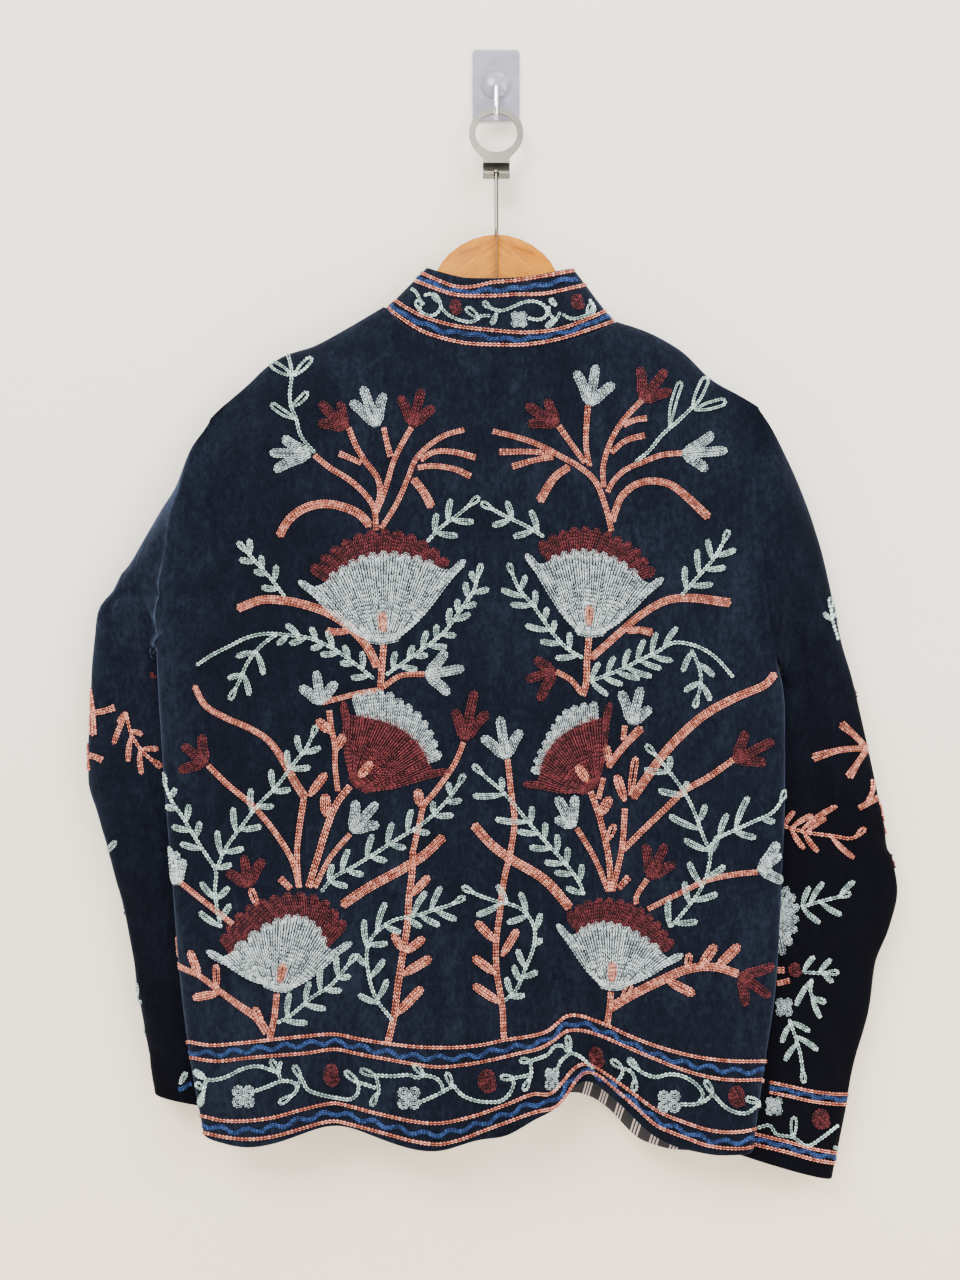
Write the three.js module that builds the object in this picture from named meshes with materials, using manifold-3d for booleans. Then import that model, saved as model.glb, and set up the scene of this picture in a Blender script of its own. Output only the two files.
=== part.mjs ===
// A short velvet jacket with a stand collar, hung by its shoulders on a two-piece
// wooden hanger whose closed steel ring hangs on a small wall hook.
// Millimetres, +Z up. The wall is the plane y = 0 and the room is on the -Y side.
// The origin is the middle of the back face of the hook's plate. The jacket's back
// faces the room (-Y), its fronts face the wall.
import * as THREE from 'three';
import { mergeVertices } from 'three/addons/utils/BufferGeometryUtils.js';
import Module from 'manifold-3d';

// ---------- cloth sizes ----------
const CLOTH = 2.0; // velvet with its backing
const SEAM = 0.5; // gap between two pieces at a seam
const FACING = 1.0; // woven facing strip
const SIDE_ROLL = 9; // how far the cloth curls round a side seam, each way
const ROLL_REACH = 12; // over what width it curls
const SHOULDER_ROLL = 62; // drop over which the cloth rounds off the shoulder line
const CUFF_STRIP = 62; // width beside each side seam that stays thin, in front of the sleeve
const TIP_LEFT = { x: -240, z: -294 }; // shoulder tips
const TIP_RIGHT = { x: 221, z: -286 };
const ARMHOLE_ROWS = { left: 9, right: 10 }; // rows of the panels down to the underarm
const UNDERARM = { left: -484, right: -496 }; // heights at which the side seams begin
const OPENING = 1.5; // half the gap between the two fronts

// ---------- hardware sizes ----------
const PLATE = { width: 41, height: 61.5, thick: 3, corner: 4 };
const DOME = { radius: 13, height: 6 };
const WIRE = { radius: 1.9, hole: 2.25 };
const RING = { inner: 18, outer: 23.3, thick: 2.5, neck: 10.5, reach: 30.5 };
const FOOT = { width: 23, height: 11, deep: 11, sheet: 1.6, slot: 4.6 };
const ROD = { radius: 1.75, head: 3.4, headThick: 1.4 };
const HANG = { y: -17.1, z: -30.0, tilt: 8 }; // where the ring rests in the hook, and its lean in degrees

// ---------- tables (mm) ----------
// left edge of the body: armhole seam down to the underarm, then the side seam
const EDGE_LEFT = [
  { z: -294, x: -240 }, { z: -314, x: -245 }, { z: -336, x: -244 }, { z: -364, x: -240 },
  { z: -399, x: -238 }, { z: -426, x: -241 }, { z: -445, x: -249 }, { z: -468, x: -266 },
  { z: -486, x: -283 }, { z: -517, x: -282 }, { z: -551, x: -280 }, { z: -623, x: -275 },
  { z: -684, x: -270 }, { z: -760, x: -264 }, { z: -826, x: -256 }, { z: -893, x: -244 },
];
const EDGE_RIGHT = [
  { z: -286, x: 221 }, { z: -307, x: 219 }, { z: -345, x: 216 }, { z: -392, x: 219 },
  { z: -421, x: 222 }, { z: -460, x: 225 }, { z: -499, x: 232 }, { z: -520, x: 238 },
  { z: -545, x: 240 }, { z: -606, x: 240 }, { z: -686, x: 237 }, { z: -731, x: 235 },
  { z: -774, x: 232 }, { z: -829, x: 224 }, { z: -907, x: 213 },
];
// shoulder lines, from tip to neck
const SHOULDER_LEFT = [
  { x: -240, z: -294, y: -37 }, { x: -231, z: -285, y: -38 }, { x: -209, z: -266, y: -39 },
  { x: -194, z: -252, y: -40 }, { x: -177, z: -242, y: -41 }, { x: -155, z: -235, y: -41 },
  { x: -132, z: -223, y: -41 }, { x: -94, z: -201, y: -42 },
];
const SHOULDER_RIGHT = [
  { x: 101, z: -214, y: -42 }, { x: 125, z: -222, y: -42 }, { x: 155, z: -238, y: -41 },
  { x: 182, z: -263, y: -40 }, { x: 207, z: -277, y: -39 }, { x: 221, z: -286, y: -37 },
];
// neck seam, across the back and across the front
const NECK_BACK = [
  { x: -94, z: -201, y: -42 }, { x: -91, z: -205, y: -49 }, { x: -82, z: -216, y: -55 },
  { x: -66, z: -227, y: -61 }, { x: -37, z: -238, y: -67 }, { x: 0, z: -245, y: -70 },
  { x: 33, z: -242, y: -68 }, { x: 61, z: -234, y: -63 }, { x: 84, z: -225, y: -58 },
  { x: 96, z: -218, y: -52 }, { x: 101, z: -214, y: -42 },
];
const NECK_FRONT = [
  { x: -94, z: -201, y: -41.5 }, { x: -92, z: -202, y: -32 }, { x: -89, z: -206, y: -25 },
  { x: -83, z: -222, y: -19 }, { x: -66, z: -250, y: -14 }, { x: -36, z: -275, y: -11 },
  { x: 0, z: -286, y: -10 }, { x: 40, z: -278, y: -11 }, { x: 70, z: -257, y: -14 },
  { x: 90, z: -233, y: -18 }, { x: 96, z: -219, y: -24 }, { x: 99, z: -214.5, y: -32 },
  { x: 101, z: -214, y: -41.5 },
];
// hem of the back and of the fronts
const HEM_BACK = [
  { x: -244, z: -893 }, { x: -207, z: -900 }, { x: -134, z: -885 }, { x: -50, z: -900 },
  { x: -14, z: -892 }, { x: 3, z: -889 }, { x: 32, z: -875 }, { x: 50, z: -871 },
  { x: 62, z: -861 }, { x: 76, z: -852 }, { x: 98, z: -863 }, { x: 129, z: -888 },
  { x: 155, z: -900 }, { x: 189, z: -907 }, { x: 213, z: -907 },
];
const HEM_FRONT = [
  { x: -244, z: -893 }, { x: -200, z: -892 }, { x: -100, z: -888 }, { x: -12, z: -880 },
  { x: 40, z: -868 }, { x: 66, z: -868 }, { x: 79, z: -872 }, { x: 98, z: -885 },
  { x: 124, z: -905 }, { x: 135, z: -907 }, { x: 160, z: -909 }, { x: 213, z: -907 },
];
// depth of the back and front panels: at the middle, and at the armhole edges
const DEPTH = [
  { z: -200, back: -64, front: -14, backEdge: -37, frontEdge: -36.5 },
  { z: -294, back: -69, front: -12, backEdge: -37, frontEdge: -36.5 },
  { z: -320, back: -71, front: -11, backEdge: -46, frontEdge: -28 },
  { z: -345, back: -72, front: -10, backEdge: -52, frontEdge: -22 },
  { z: -380, back: -73, front: -9, backEdge: -57, frontEdge: -18 },
  { z: -420, back: -74, front: -9, backEdge: -61, frontEdge: -20 },
  { z: -455, back: -74, front: -9, backEdge: -64, frontEdge: -34 },
  { z: -484, back: -75, front: -9, backEdge: -66, frontEdge: -48 },
  { z: -650, back: -77, front: -8, backEdge: -66, frontEdge: -48 },
  { z: -800, back: -75, front: -8, backEdge: -66, frontEdge: -48 },
  { z: -910, back: -72, front: -8, backEdge: -66, frontEdge: -48 },
];
// largest folds of the back: where each starts and ends, its depth at the lower end
// (troughs positive) and its half width
const FOLDS_BACK = [
  { x0: -128, z0: -760, x1: -134, z1: -890, deep: 12, half: 26 }, // soft trough
  { x0: 44, z0: -715, x1: 70, z1: -870, deep: 30, half: 30 }, // deep trough to the hem's rise
  { x0: 8, z0: -740, x1: 26, z1: -880, deep: -8, half: 30 }, // ridge beside it
  { x0: 120, z0: -760, x1: 128, z1: -895, deep: -6, half: 34 },
  { x0: -60, z0: -780, x1: -62, z1: -900, deep: -7, half: 34 },
];
const FOLDS_FRONT = [
  { x0: -150, z0: -700, x1: -160, z1: -890, deep: -9, half: 30 },
  { x0: -70, z0: -640, x1: -78, z1: -890, deep: -14, half: 34 },
  { x0: 60, z0: -650, x1: 62, z1: -880, deep: -16, half: 34 },
  { x0: 130, z0: -720, x1: 120, z1: -900, deep: -8, half: 26 },
];
// top edge of the collar for each place on the neck seam
const COLLAR_BACK = [
  { at: -94, x: -60, z: -168, y: -42 }, { at: -82, x: -54, z: -172, y: -48 },
  { at: -66, x: -45, z: -176, y: -54 }, { at: -37, x: -24, z: -182, y: -60 },
  { at: 0, x: 0, z: -183, y: -63 }, { at: 33, x: 24, z: -181, y: -60 },
  { at: 61, x: 44, z: -176, y: -54 }, { at: 84, x: 57, z: -172, y: -48 },
  { at: 101, x: 66, z: -169, y: -42 },
];
const COLLAR_FRONT = [
  { at: -94, x: -60, z: -168, y: -42 }, { at: -92, x: -59, z: -170, y: -36 },
  { at: -89, x: -58, z: -174, y: -30 }, { at: -83, x: -55, z: -182, y: -25 },
  { at: -66, x: -44, z: -200, y: -20 }, { at: -36, x: -25, z: -222, y: -16 },
  { at: 0, x: 0, z: -236, y: -14 }, { at: 40, x: 27, z: -224, y: -16 },
  { at: 70, x: 47, z: -204, y: -20 }, { at: 90, x: 60, z: -186, y: -25 },
  { at: 96, x: 63, z: -176, y: -30 }, { at: 99, x: 65, z: -171, y: -36 },
  { at: 101, x: 66, z: -169, y: -42 },
];
// sleeve sections after the armhole: outer point, inner point, their depths, and the
// half depth towards the room and towards the wall
const SLEEVE_LEFT = [
  { ox: -256, oz: -321, ix: -288, iz: -491, oy: -37, iy: -49, room: 21, wall: 20 },
  { ox: -270, oz: -352, ix: -289, iz: -494, oy: -36, iy: -43, room: 21, wall: 20 },
  { ox: -290, oz: -384, ix: -289, iz: -497, oy: -34, iy: -38, room: 20, wall: 19 },
  { ox: -307, oz: -412, ix: -288, iz: -500, oy: -32, iy: -33, room: 19, wall: 18 },
  { ox: -326, oz: -440, ix: -286, iz: -504, oy: -30, iy: -29, room: 18, wall: 18 },
  { ox: -339, oz: -458, ix: -281, iz: -510, oy: -28, iy: -26, room: 18, wall: 18 },
  { ox: -342, oz: -480, ix: -272, iz: -520, oy: -27, iy: -25, room: 16, wall: 17 },
  { ox: -345, oz: -509, ix: -258, iz: -538, oy: -26, iy: -25, room: 16, wall: 17 },
  { ox: -346, oz: -540, ix: -243, iz: -562, oy: -26, iy: -25, room: 17, wall: 17 },
  { ox: -348, oz: -575, ix: -230, iz: -592, oy: -26, iy: -26, room: 17, wall: 17 },
  { ox: -348, oz: -600, ix: -222, iz: -618, oy: -26, iy: -26, room: 17, wall: 17 },
  { ox: -340, oz: -630, ix: -217, iz: -648, oy: -26, iy: -26, room: 17, wall: 17 },
  { ox: -331, oz: -662, ix: -213, iz: -680, oy: -26, iy: -26, room: 17, wall: 17 },
  { ox: -321, oz: -700, ix: -210, iz: -714, oy: -26, iy: -26, room: 17, wall: 17 },
  { ox: -311, oz: -745, ix: -206, iz: -756, oy: -26, iy: -26, room: 17, wall: 17 },
  { ox: -303, oz: -789, ix: -201, iz: -800, oy: -26, iy: -26, room: 18, wall: 17 },
  { ox: -297, oz: -832, ix: -196, iz: -842, oy: -26, iy: -26, room: 18, wall: 18 },
  { ox: -291, oz: -868, ix: -192, iz: -882, oy: -26, iy: -26, room: 18, wall: 18 },
];
const SLEEVE_RIGHT = [
  { ox: 232, oz: -303, ix: 237, iz: -505, oy: -37, iy: -49, room: 21, wall: 20 },
  { ox: 248, oz: -335, ix: 240, iz: -508, oy: -36, iy: -43, room: 21, wall: 20 },
  { ox: 262, oz: -368, ix: 242, iz: -511, oy: -34, iy: -38, room: 20, wall: 19 },
  { ox: 275, oz: -405, ix: 241, iz: -514, oy: -32, iy: -33, room: 19, wall: 18 },
  { ox: 285, oz: -446, ix: 240, iz: -518, oy: -30, iy: -29, room: 18, wall: 18 },
  { ox: 293, oz: -483, ix: 239, iz: -524, oy: -28, iy: -26, room: 18, wall: 18 },
  { ox: 303, oz: -515, ix: 232, iz: -534, oy: -27, iy: -25, room: 16, wall: 17 },
  { ox: 311, oz: -548, ix: 221, iz: -552, oy: -26, iy: -25, room: 16, wall: 17 },
  { ox: 319, oz: -584, ix: 210, iz: -588, oy: -26, iy: -25, room: 17, wall: 17 },
  { ox: 327, oz: -622, ix: 205, iz: -634, oy: -26, iy: -26, room: 17, wall: 17 },
  { ox: 336, oz: -662, ix: 201, iz: -670, oy: -26, iy: -26, room: 17, wall: 17 },
  { ox: 342, oz: -696, ix: 199, iz: -708, oy: -26, iy: -26, room: 17, wall: 17 },
  { ox: 335, oz: -727, ix: 196, iz: -742, oy: -26, iy: -26, room: 17, wall: 17 },
  { ox: 323, oz: -758, ix: 192, iz: -772, oy: -26, iy: -26, room: 17, wall: 17 },
  { ox: 318, oz: -795, ix: 189, iz: -808, oy: -26, iy: -26, room: 17, wall: 17 },
  { ox: 306, oz: -840, ix: 185, iz: -848, oy: -26, iy: -26, room: 18, wall: 17 },
  { ox: 297, oz: -886, ix: 182, iz: -884, oy: -26, iy: -26, room: 18, wall: 18 },
  { ox: 286, oz: -940, ix: 180, iz: -908, oy: -26, iy: -26, room: 18, wall: 18 },
];
// wooden arms: distance from the middle, top and bottom heights, half thickness
const ARM_LEFT = [
  { d: 0.4, top: -138, low: -214, half: 6.5 }, { d: 10, top: -139, low: -215, half: 6.5 },
  { d: 20, top: -142, low: -216, half: 6.5 }, { d: 30, top: -147, low: -218, half: 6.5 },
  { d: 40, top: -155, low: -220, half: 6.5 }, { d: 46, top: -162.5, low: -222, half: 6.5 },
  { d: 50, top: -170, low: -224, half: 6.5 }, { d: 56, top: -179, low: -226, half: 6.5 },
  { d: 64, top: -187, low: -229, half: 6.5 }, { d: 78, top: -198, low: -235, half: 6.8 },
  { d: 94, top: -209, low: -242, half: 7 }, { d: 132, top: -229, low: -260, half: 8 },
  { d: 155, top: -241, low: -271, half: 8.6 }, { d: 172, top: -249, low: -278, half: 9 },
  { d: 184, top: -257, low: -280, half: 8 }, { d: 190, top: -264, low: -276, half: 5 },
];
const ARM_RIGHT = [
  { d: 0.4, top: -138, low: -214, half: 6.5 }, { d: 10, top: -139, low: -215, half: 6.5 },
  { d: 20, top: -142, low: -216, half: 6.5 }, { d: 30, top: -147, low: -218, half: 6.5 },
  { d: 40, top: -155, low: -220, half: 6.5 }, { d: 46, top: -162.5, low: -223, half: 6.5 },
  { d: 50, top: -170, low: -225, half: 6.5 }, { d: 56, top: -180, low: -228, half: 6.5 },
  { d: 64, top: -190, low: -232, half: 6.5 }, { d: 78, top: -204, low: -240, half: 6.8 },
  { d: 100, top: -220, low: -252, half: 7 }, { d: 125, top: -231, low: -265, half: 8 },
  { d: 152, top: -245, low: -278, half: 8.6 }, { d: 168, top: -256, low: -287, half: 9 },
  { d: 179, top: -270, low: -291, half: 6.5 }, { d: 184, top: -277, low: -288, half: 5 },
];
const ARM_CURVE = 12; // how far each arm bends towards the wearer's front
// hook wire, side view
const HOOK_PATH = [
  { y: -4.6, z: -4.2 }, { y: -9.6, z: -4.3 }, { y: -12.3, z: -7.4 }, { y: -12.7, z: -14 },
  { y: -12.7, z: -22 }, { y: -13.1, z: -28.8 }, { y: -17.1, z: -34.2 }, { y: -21.1, z: -29 },
  { y: -21.9, z: -22 }, { y: -22.1, z: -15 }, { y: -22.4, z: -7.5 },
];

// row and column positions of the panels, as shares from the top and from the side
const ROWS = [0, 0.02, 0.05, 0.09, 0.14, 0.19, 0.235, 0.275, 0.305, 0.32, 0.34, 0.37, 0.42,
  0.49, 0.57, 0.65, 0.73, 0.8, 0.86, 0.91, 0.95, 0.98, 1];
const SHOULDER_COLUMNS = [0, 0.03, 0.12, 0.28, 0.5, 0.74, 1]; // from tip to neck
const NECK_COLUMNS = [0, 0.03, 0.08, 0.16, 0.26, 0.37, 0.48, 0.59, 0.7, 0.81, 0.9, 0.96, 1]; // neck point to neck point
const FRONT_NECK_COLUMNS = [0, 0.021, 0.055, 0.12, 0.3, 0.6, 1]; // neck point to middle
const FACING_ROWS = 3; // the panel's last rows that carry the facing
const FACING_COLUMNS = { from: 2, to: 9 }; // and its columns, counted from the middle

// ---------- small maths ----------
const clamp = (t) => Math.min(1, Math.max(0, t));
const smooth = (t) => { const s = clamp(t); return s * s * (3 - 2 * s); };
const quarter = (t) => { const s = clamp(t); return Math.sqrt(1 - (1 - s) * (1 - s)); };
const mix = (a, b, t) => a + (b - a) * t;

// value of a table's column at a key, by a smooth curve that never overshoots
function along(rows, key, column, at) {
  const list = rows[0][key] < rows[rows.length - 1][key] ? rows : [...rows].reverse();
  const n = list.length;
  if (at <= list[0][key]) return list[0][column];
  if (at >= list[n - 1][key]) return list[n - 1][column];
  let i = 0;
  while (at > list[i + 1][key]) i += 1;
  const slope = (k) => (list[k + 1][column] - list[k][column]) / (list[k + 1][key] - list[k][key]);
  const tangent = (k) => {
    if (k === 0) return slope(0);
    if (k === n - 1) return slope(n - 2);
    const a = slope(k - 1);
    const b = slope(k);
    return a * b <= 0 ? 0 : (2 * a * b) / (a + b);
  };
  const h = list[i + 1][key] - list[i][key];
  const t = (at - list[i][key]) / h;
  const t2 = t * t;
  const t3 = t2 * t;
  return (2 * t3 - 3 * t2 + 1) * list[i][column] + (t3 - 2 * t2 + t) * h * tangent(i)
    + (3 * t2 - 2 * t3) * list[i + 1][column] + (t3 - t2) * h * tangent(i + 1);
}

// ---------- the body ----------
const leftEdge = (z) => along(EDGE_LEFT, 'z', 'x', z);
const rightEdge = (z) => along(EDGE_RIGHT, 'z', 'x', z);
const middle = (z) => mix(0, -12, smooth((-286 - z) / 600));

function topEdge(x, column, front) {
  if (x < -94) return along(SHOULDER_LEFT, 'x', column, x) + (front && column === 'y' ? SEAM : 0);
  if (x > 101) return along(SHOULDER_RIGHT, 'x', column, x) + (front && column === 'y' ? SEAM : 0);
  return along(front ? NECK_FRONT : NECK_BACK, 'x', column, x);
}

// soft trough or ridge that runs from one point down to another and deepens on the way
function foldDepth(folds, x, z) {
  let sum = 0;
  for (const f of folds) {
    const t = (f.z0 - z) / (f.z0 - f.z1);
    const across = (x - mix(f.x0, f.x1, t)) / f.half;
    if (t > 0) sum += f.deep * smooth(t) * Math.exp(-across * across);
  }
  return sum;
}

function backDepth(x, z, edge, roll) {
  const rim = along(DEPTH, 'z', 'backEdge', z);
  const inner = along(DEPTH, 'z', 'back', z);
  const curl = SIDE_ROLL * roll * (1 - quarter(edge / ROLL_REACH));
  return mix(rim, inner, Math.sin(clamp(edge / 110) * Math.PI / 2)) + curl
    + foldDepth(FOLDS_BACK, x, z) * smooth(edge / 40);
}

function frontDepth(x, z, edge, roll) {
  const rim = along(DEPTH, 'z', 'frontEdge', z);
  const inner = along(DEPTH, 'z', 'front', z);
  const high = smooth(edge / 60);
  const low = smooth((edge - CUFF_STRIP) / 60);
  const curl = SIDE_ROLL * roll * (1 - quarter(edge / ROLL_REACH));
  return mix(rim, inner, mix(high, low, smooth((-440 - z) / 70))) - curl
    + foldDepth(FOLDS_FRONT, x, z) * smooth((edge - CUFF_STRIP) / 60);
}

// a point of a body panel: across from the left edge (0) to the right edge (1) or the
// middle, and down from the top edge (0) to the hem (1)
function bodyPoint(side, across, down) {
  const front = side !== 'back';
  const topLeft = side === 'right' ? OPENING : TIP_LEFT.x;
  const topRight = side === 'left' ? -OPENING : TIP_RIGHT.x;
  const xTop = mix(topLeft, topRight, across);
  const zTop = topEdge(xTop, 'z', front);
  const hem = front ? HEM_FRONT : HEM_BACK;
  let x = xTop;
  let z = zTop;
  for (let pass = 0; pass < 3; pass += 1) {
    z = mix(zTop, along(hem, 'x', 'z', x), down);
    const low = side === 'right' ? middle(z) + OPENING : leftEdge(z);
    const high = side === 'left' ? middle(z) - OPENING : rightEdge(z);
    x = mix(low, high, across);
    if (down === 0) x = xTop;
  }
  const edge = Math.min(x - leftEdge(z), rightEdge(z) - x);
  const under = x - leftEdge(z) < rightEdge(z) - x ? UNDERARM.left : UNDERARM.right;
  const roll = smooth((under - z) / 10);
  const yTop = topEdge(xTop, 'y', front);
  const y = front ? frontDepth(x, z, edge, roll) : backDepth(x, z, edge, roll);
  const drop = quarter((zTop - z) / SHOULDER_ROLL);
  const seam = front ? SEAM / 2 : -SEAM / 2;
  return new THREE.Vector3(x, mix(yTop, y + seam, drop), z);
}

// ---------- closed walls from grids ----------
// grid[i][j] are the outer points; the wall's inner face lies `thick` behind them.
function wall(grid, thick, closed = false) {
  const rows = grid.length;
  const cols = grid[0].length;
  const inward = normals(grid, closed);
  const inner = grid.map((line, i) => line.map((p, j) => p.clone().addScaledVector(inward[i][j], thick)));
  const points = [...grid.flat(), ...inner.flat()];
  const half = rows * cols;
  const faces = [];
  const quad = (a, b, c, d) => faces.push(a, b, c, a, c, d);
  const span = closed ? cols : cols - 1;
  for (let i = 0; i < rows - 1; i += 1) {
    for (let j = 0; j < span; j += 1) {
      const a = i * cols + j;
      const b = i * cols + ((j + 1) % cols);
      const c = a + cols;
      const d = b + cols;
      quad(a, c, d, b);
      quad(half + a, half + b, half + d, half + c);
    }
  }
  const rim = (list) => {
    for (let k = 0; k + 1 < list.length; k += 1) {
      quad(list[k], list[k + 1], half + list[k + 1], half + list[k]);
    }
  };
  const top = [];
  const low = [];
  for (let j = 0; j <= span; j += 1) {
    top.push(j % cols);
    low.push((rows - 1) * cols + (j % cols));
  }
  rim(top);
  rim(low.reverse());
  if (!closed) {
    const left = [];
    const right = [];
    for (let i = 0; i < rows; i += 1) {
      left.push(i * cols);
      right.push(i * cols + cols - 1);
    }
    rim(left.reverse());
    rim(right);
  }
  return outward(solid(points, faces));
}

function solid(points, faces) {
  const geometry = new THREE.BufferGeometry();
  geometry.setAttribute('position', new THREE.Float32BufferAttribute(points.flatMap((p) => [p.x, p.y, p.z]), 3));
  geometry.setIndex(faces);
  return geometry;
}

// turns every face round when the solid is inside out
function outward(geometry) {
  const p = geometry.attributes.position;
  const index = geometry.index.array;
  const v = (i) => new THREE.Vector3().fromBufferAttribute(p, index[i]);
  let volume = 0;
  for (let i = 0; i < index.length; i += 3) volume += v(i).dot(v(i + 1).cross(v(i + 2)));
  if (volume < 0) {
    for (let i = 0; i < index.length; i += 3) [index[i + 1], index[i + 2]] = [index[i + 2], index[i + 1]];
  }
  geometry.computeVertexNormals();
  return geometry;
}

// closed loft through rings with the same number of points
function loft(rings) {
  const n = rings[0].length;
  const points = rings.flat();
  const faces = [];
  for (let i = 0; i < rings.length - 1; i += 1) {
    for (let j = 0; j < n; j += 1) {
      const a = i * n + j;
      const b = i * n + ((j + 1) % n);
      faces.push(a, b, b + n, a, b + n, a + n);
    }
  }
  for (const [ring, start] of [[rings[0], 0], [rings[rings.length - 1], (rings.length - 1) * n]]) {
    const centre = ring.reduce((s, p) => s.add(p), new THREE.Vector3()).divideScalar(n);
    points.push(centre);
    for (let j = 0; j < n; j += 1) {
      const a = start + j;
      const b = start + ((j + 1) % n);
      if (start === 0) faces.push(points.length - 1, b, a);
      else faces.push(points.length - 1, a, b);
    }
  }
  return outward(solid(points, faces));
}

// ---------- panels ----------
const backColumns = [];
for (const s of SHOULDER_COLUMNS) backColumns.push(mix(TIP_LEFT.x, -94, s));
for (const s of NECK_COLUMNS.slice(1, -1)) backColumns.push(mix(-94, 101, s));
for (const s of [...SHOULDER_COLUMNS].reverse()) backColumns.push(mix(TIP_RIGHT.x, 101, s));
const backShares = backColumns.map((x) => (x - TIP_LEFT.x) / (TIP_RIGHT.x - TIP_LEFT.x));

function frontShares(side) {
  const tip = side === 'left' ? TIP_LEFT.x : TIP_RIGHT.x;
  const neck = side === 'left' ? -94 : 101;
  const centre = side === 'left' ? -OPENING : OPENING;
  const xs = SHOULDER_COLUMNS.map((s) => mix(tip, neck, s));
  for (const s of FRONT_NECK_COLUMNS.slice(1)) xs.push(mix(neck, centre, s));
  if (side === 'right') xs.reverse();
  return xs.map((x) => (side === 'left' ? (x - tip) / (centre - tip) : (x - centre) / (tip - centre)));
}

const backGrid = ROWS.map((down) => backShares.map((across) => bodyPoint('back', across, down)));
const leftGrid = ROWS.map((down) => frontShares('left').map((across) => bodyPoint('left', across, down)));
const rightGrid = ROWS.map((down) => frontShares('right').map((across) => bodyPoint('right', across, down)));

// unit normals of a grid's points, by the direction of its rows and columns
function normals(grid, closed = false) {
  const rows = grid.length;
  const cols = grid[0].length;
  const next = (j) => (closed ? (j + 1) % cols : Math.min(j + 1, cols - 1));
  const last = (j) => (closed ? (j + cols - 1) % cols : Math.max(j - 1, 0));
  return grid.map((line, i) => line.map((p, j) => {
    const du = new THREE.Vector3().subVectors(line[next(j)], line[last(j)]);
    const dv = new THREE.Vector3().subVectors(grid[Math.min(i + 1, rows - 1)][j], grid[Math.max(i - 1, 0)][j]);
    return du.cross(dv).normalize();
  }));
}

// the facing lies inside the right front's hem, on the panel's own points
function facingGrid() {
  const inward = normals(rightGrid);
  const { from, to } = FACING_COLUMNS;
  return rightGrid.map((line, i) => line.slice(from, to).map((p, j) => (
    p.clone().addScaledVector(inward[i][from + j], CLOTH + 0.35)))).slice(-FACING_ROWS);
}

// ---------- sleeves ----------
function sleeveGrid(side) {
  const left = side === 'left';
  const out = left ? -SEAM - 0.15 : SEAM + 0.15;
  const table = left ? SLEEVE_LEFT : SLEEVE_RIGHT;
  const rows = ARMHOLE_ROWS[side];
  const across = left ? 0 : 1;
  const room = [];
  const wallSide = [];
  for (let i = 0; i <= rows; i += 1) {
    room.push(bodyPoint('back', across, ROWS[i]));
    wallSide.push(bodyPoint(side, left ? 0 : 1, ROWS[i]));
  }
  const tip = room[0].clone().lerp(wallSide[0], 0.5);
  const bottom = room[rows].clone().lerp(wallSide[rows], 0.5);
  if (left) bottom.z -= 2.5;
  const armhole = [tip, ...room.slice(1), bottom, ...wallSide.slice(1).reverse()]
    .map((p) => new THREE.Vector3(p.x + out, p.y, p.z));
  const angles = [0];
  for (let i = 1; i <= rows; i += 1) angles.push(Math.acos(1 - 2 * 0.97 * (ROWS[i] / ROWS[rows])));
  angles.push(Math.PI);
  for (let i = rows; i >= 1; i -= 1) angles.push(-angles[i]);
  const grid = [armhole];
  for (const r of table) {
    grid.push(angles.map((a) => {
      const c = Math.sign(Math.cos(a)) * Math.abs(Math.cos(a)) ** 0.9;
      const s = Math.sign(Math.sin(a)) * Math.abs(Math.sin(a)) ** 0.8;
      const t = (1 - c) / 2; // 0 at the outer point, 1 at the inner point
      return new THREE.Vector3(
        mix(r.ox, r.ix, t),
        mix(r.oy, r.iy, t) - (s > 0 ? s * r.room : s * r.wall),
        mix(r.oz, r.iz, t),
      );
    }));
  }
  return left ? grid : grid.map((line) => [line[0], ...line.slice(1).reverse()]);
}

// ---------- collar ----------
// each panel's neck edge, moved off the panel across the seam
function neckEdge(grid, from, to) {
  const edge = grid[0].slice(from, to);
  return edge.map((p, j) => {
    const run = new THREE.Vector3().subVectors(edge[Math.min(j + 1, edge.length - 1)], edge[Math.max(j - 1, 0)]).normalize();
    const away = new THREE.Vector3().subVectors(p, grid[1][from + j]);
    away.addScaledVector(run, -away.dot(run)).normalize();
    return { key: p.x, p: p.clone().addScaledVector(away, SEAM + 0.3) };
  });
}

function collarGrid() {
  const shoulder = SHOULDER_COLUMNS.length;
  const neckLeft = neckEdge(leftGrid, shoulder - 1, leftGrid[0].length).reverse();
  const neckRight = neckEdge(rightGrid, 0, FRONT_NECK_COLUMNS.length).reverse();
  const neckBack = neckEdge(backGrid, shoulder - 1, shoulder - 1 + NECK_COLUMNS.length);
  // at the neck points the seams of three panels meet, and the collar stands clear of all
  neckBack[0].p.lerp(neckLeft[neckLeft.length - 1].p, 0.5);
  neckBack[neckBack.length - 1].p.lerp(neckRight[0].p, 0.5);
  const base = [
    ...neckLeft.slice(0, -1).map((e) => ({ ...e, front: true })),
    ...neckBack.map((e) => ({ ...e, front: false })),
    ...neckRight.slice(1).map((e) => ({ ...e, front: true })),
  ];
  const grid = [];
  for (const up of [1, 0.66, 0.33, 0]) {
    grid.push(base.map(({ key, p, front }) => {
      const table = front ? COLLAR_FRONT : COLLAR_BACK;
      const top = new THREE.Vector3(
        along(table, 'at', 'x', key), along(table, 'at', 'y', key), along(table, 'at', 'z', key));
      if (front && Math.abs(key) < 5) top.x = key * 1.3;
      const q = p.clone().lerp(top, up);
      const bow = 2.2 * Math.sin(Math.PI * up);
      q.y += front ? bow * 0.4 : -bow;
      return q;
    }));
  }
  return grid;
}

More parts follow.
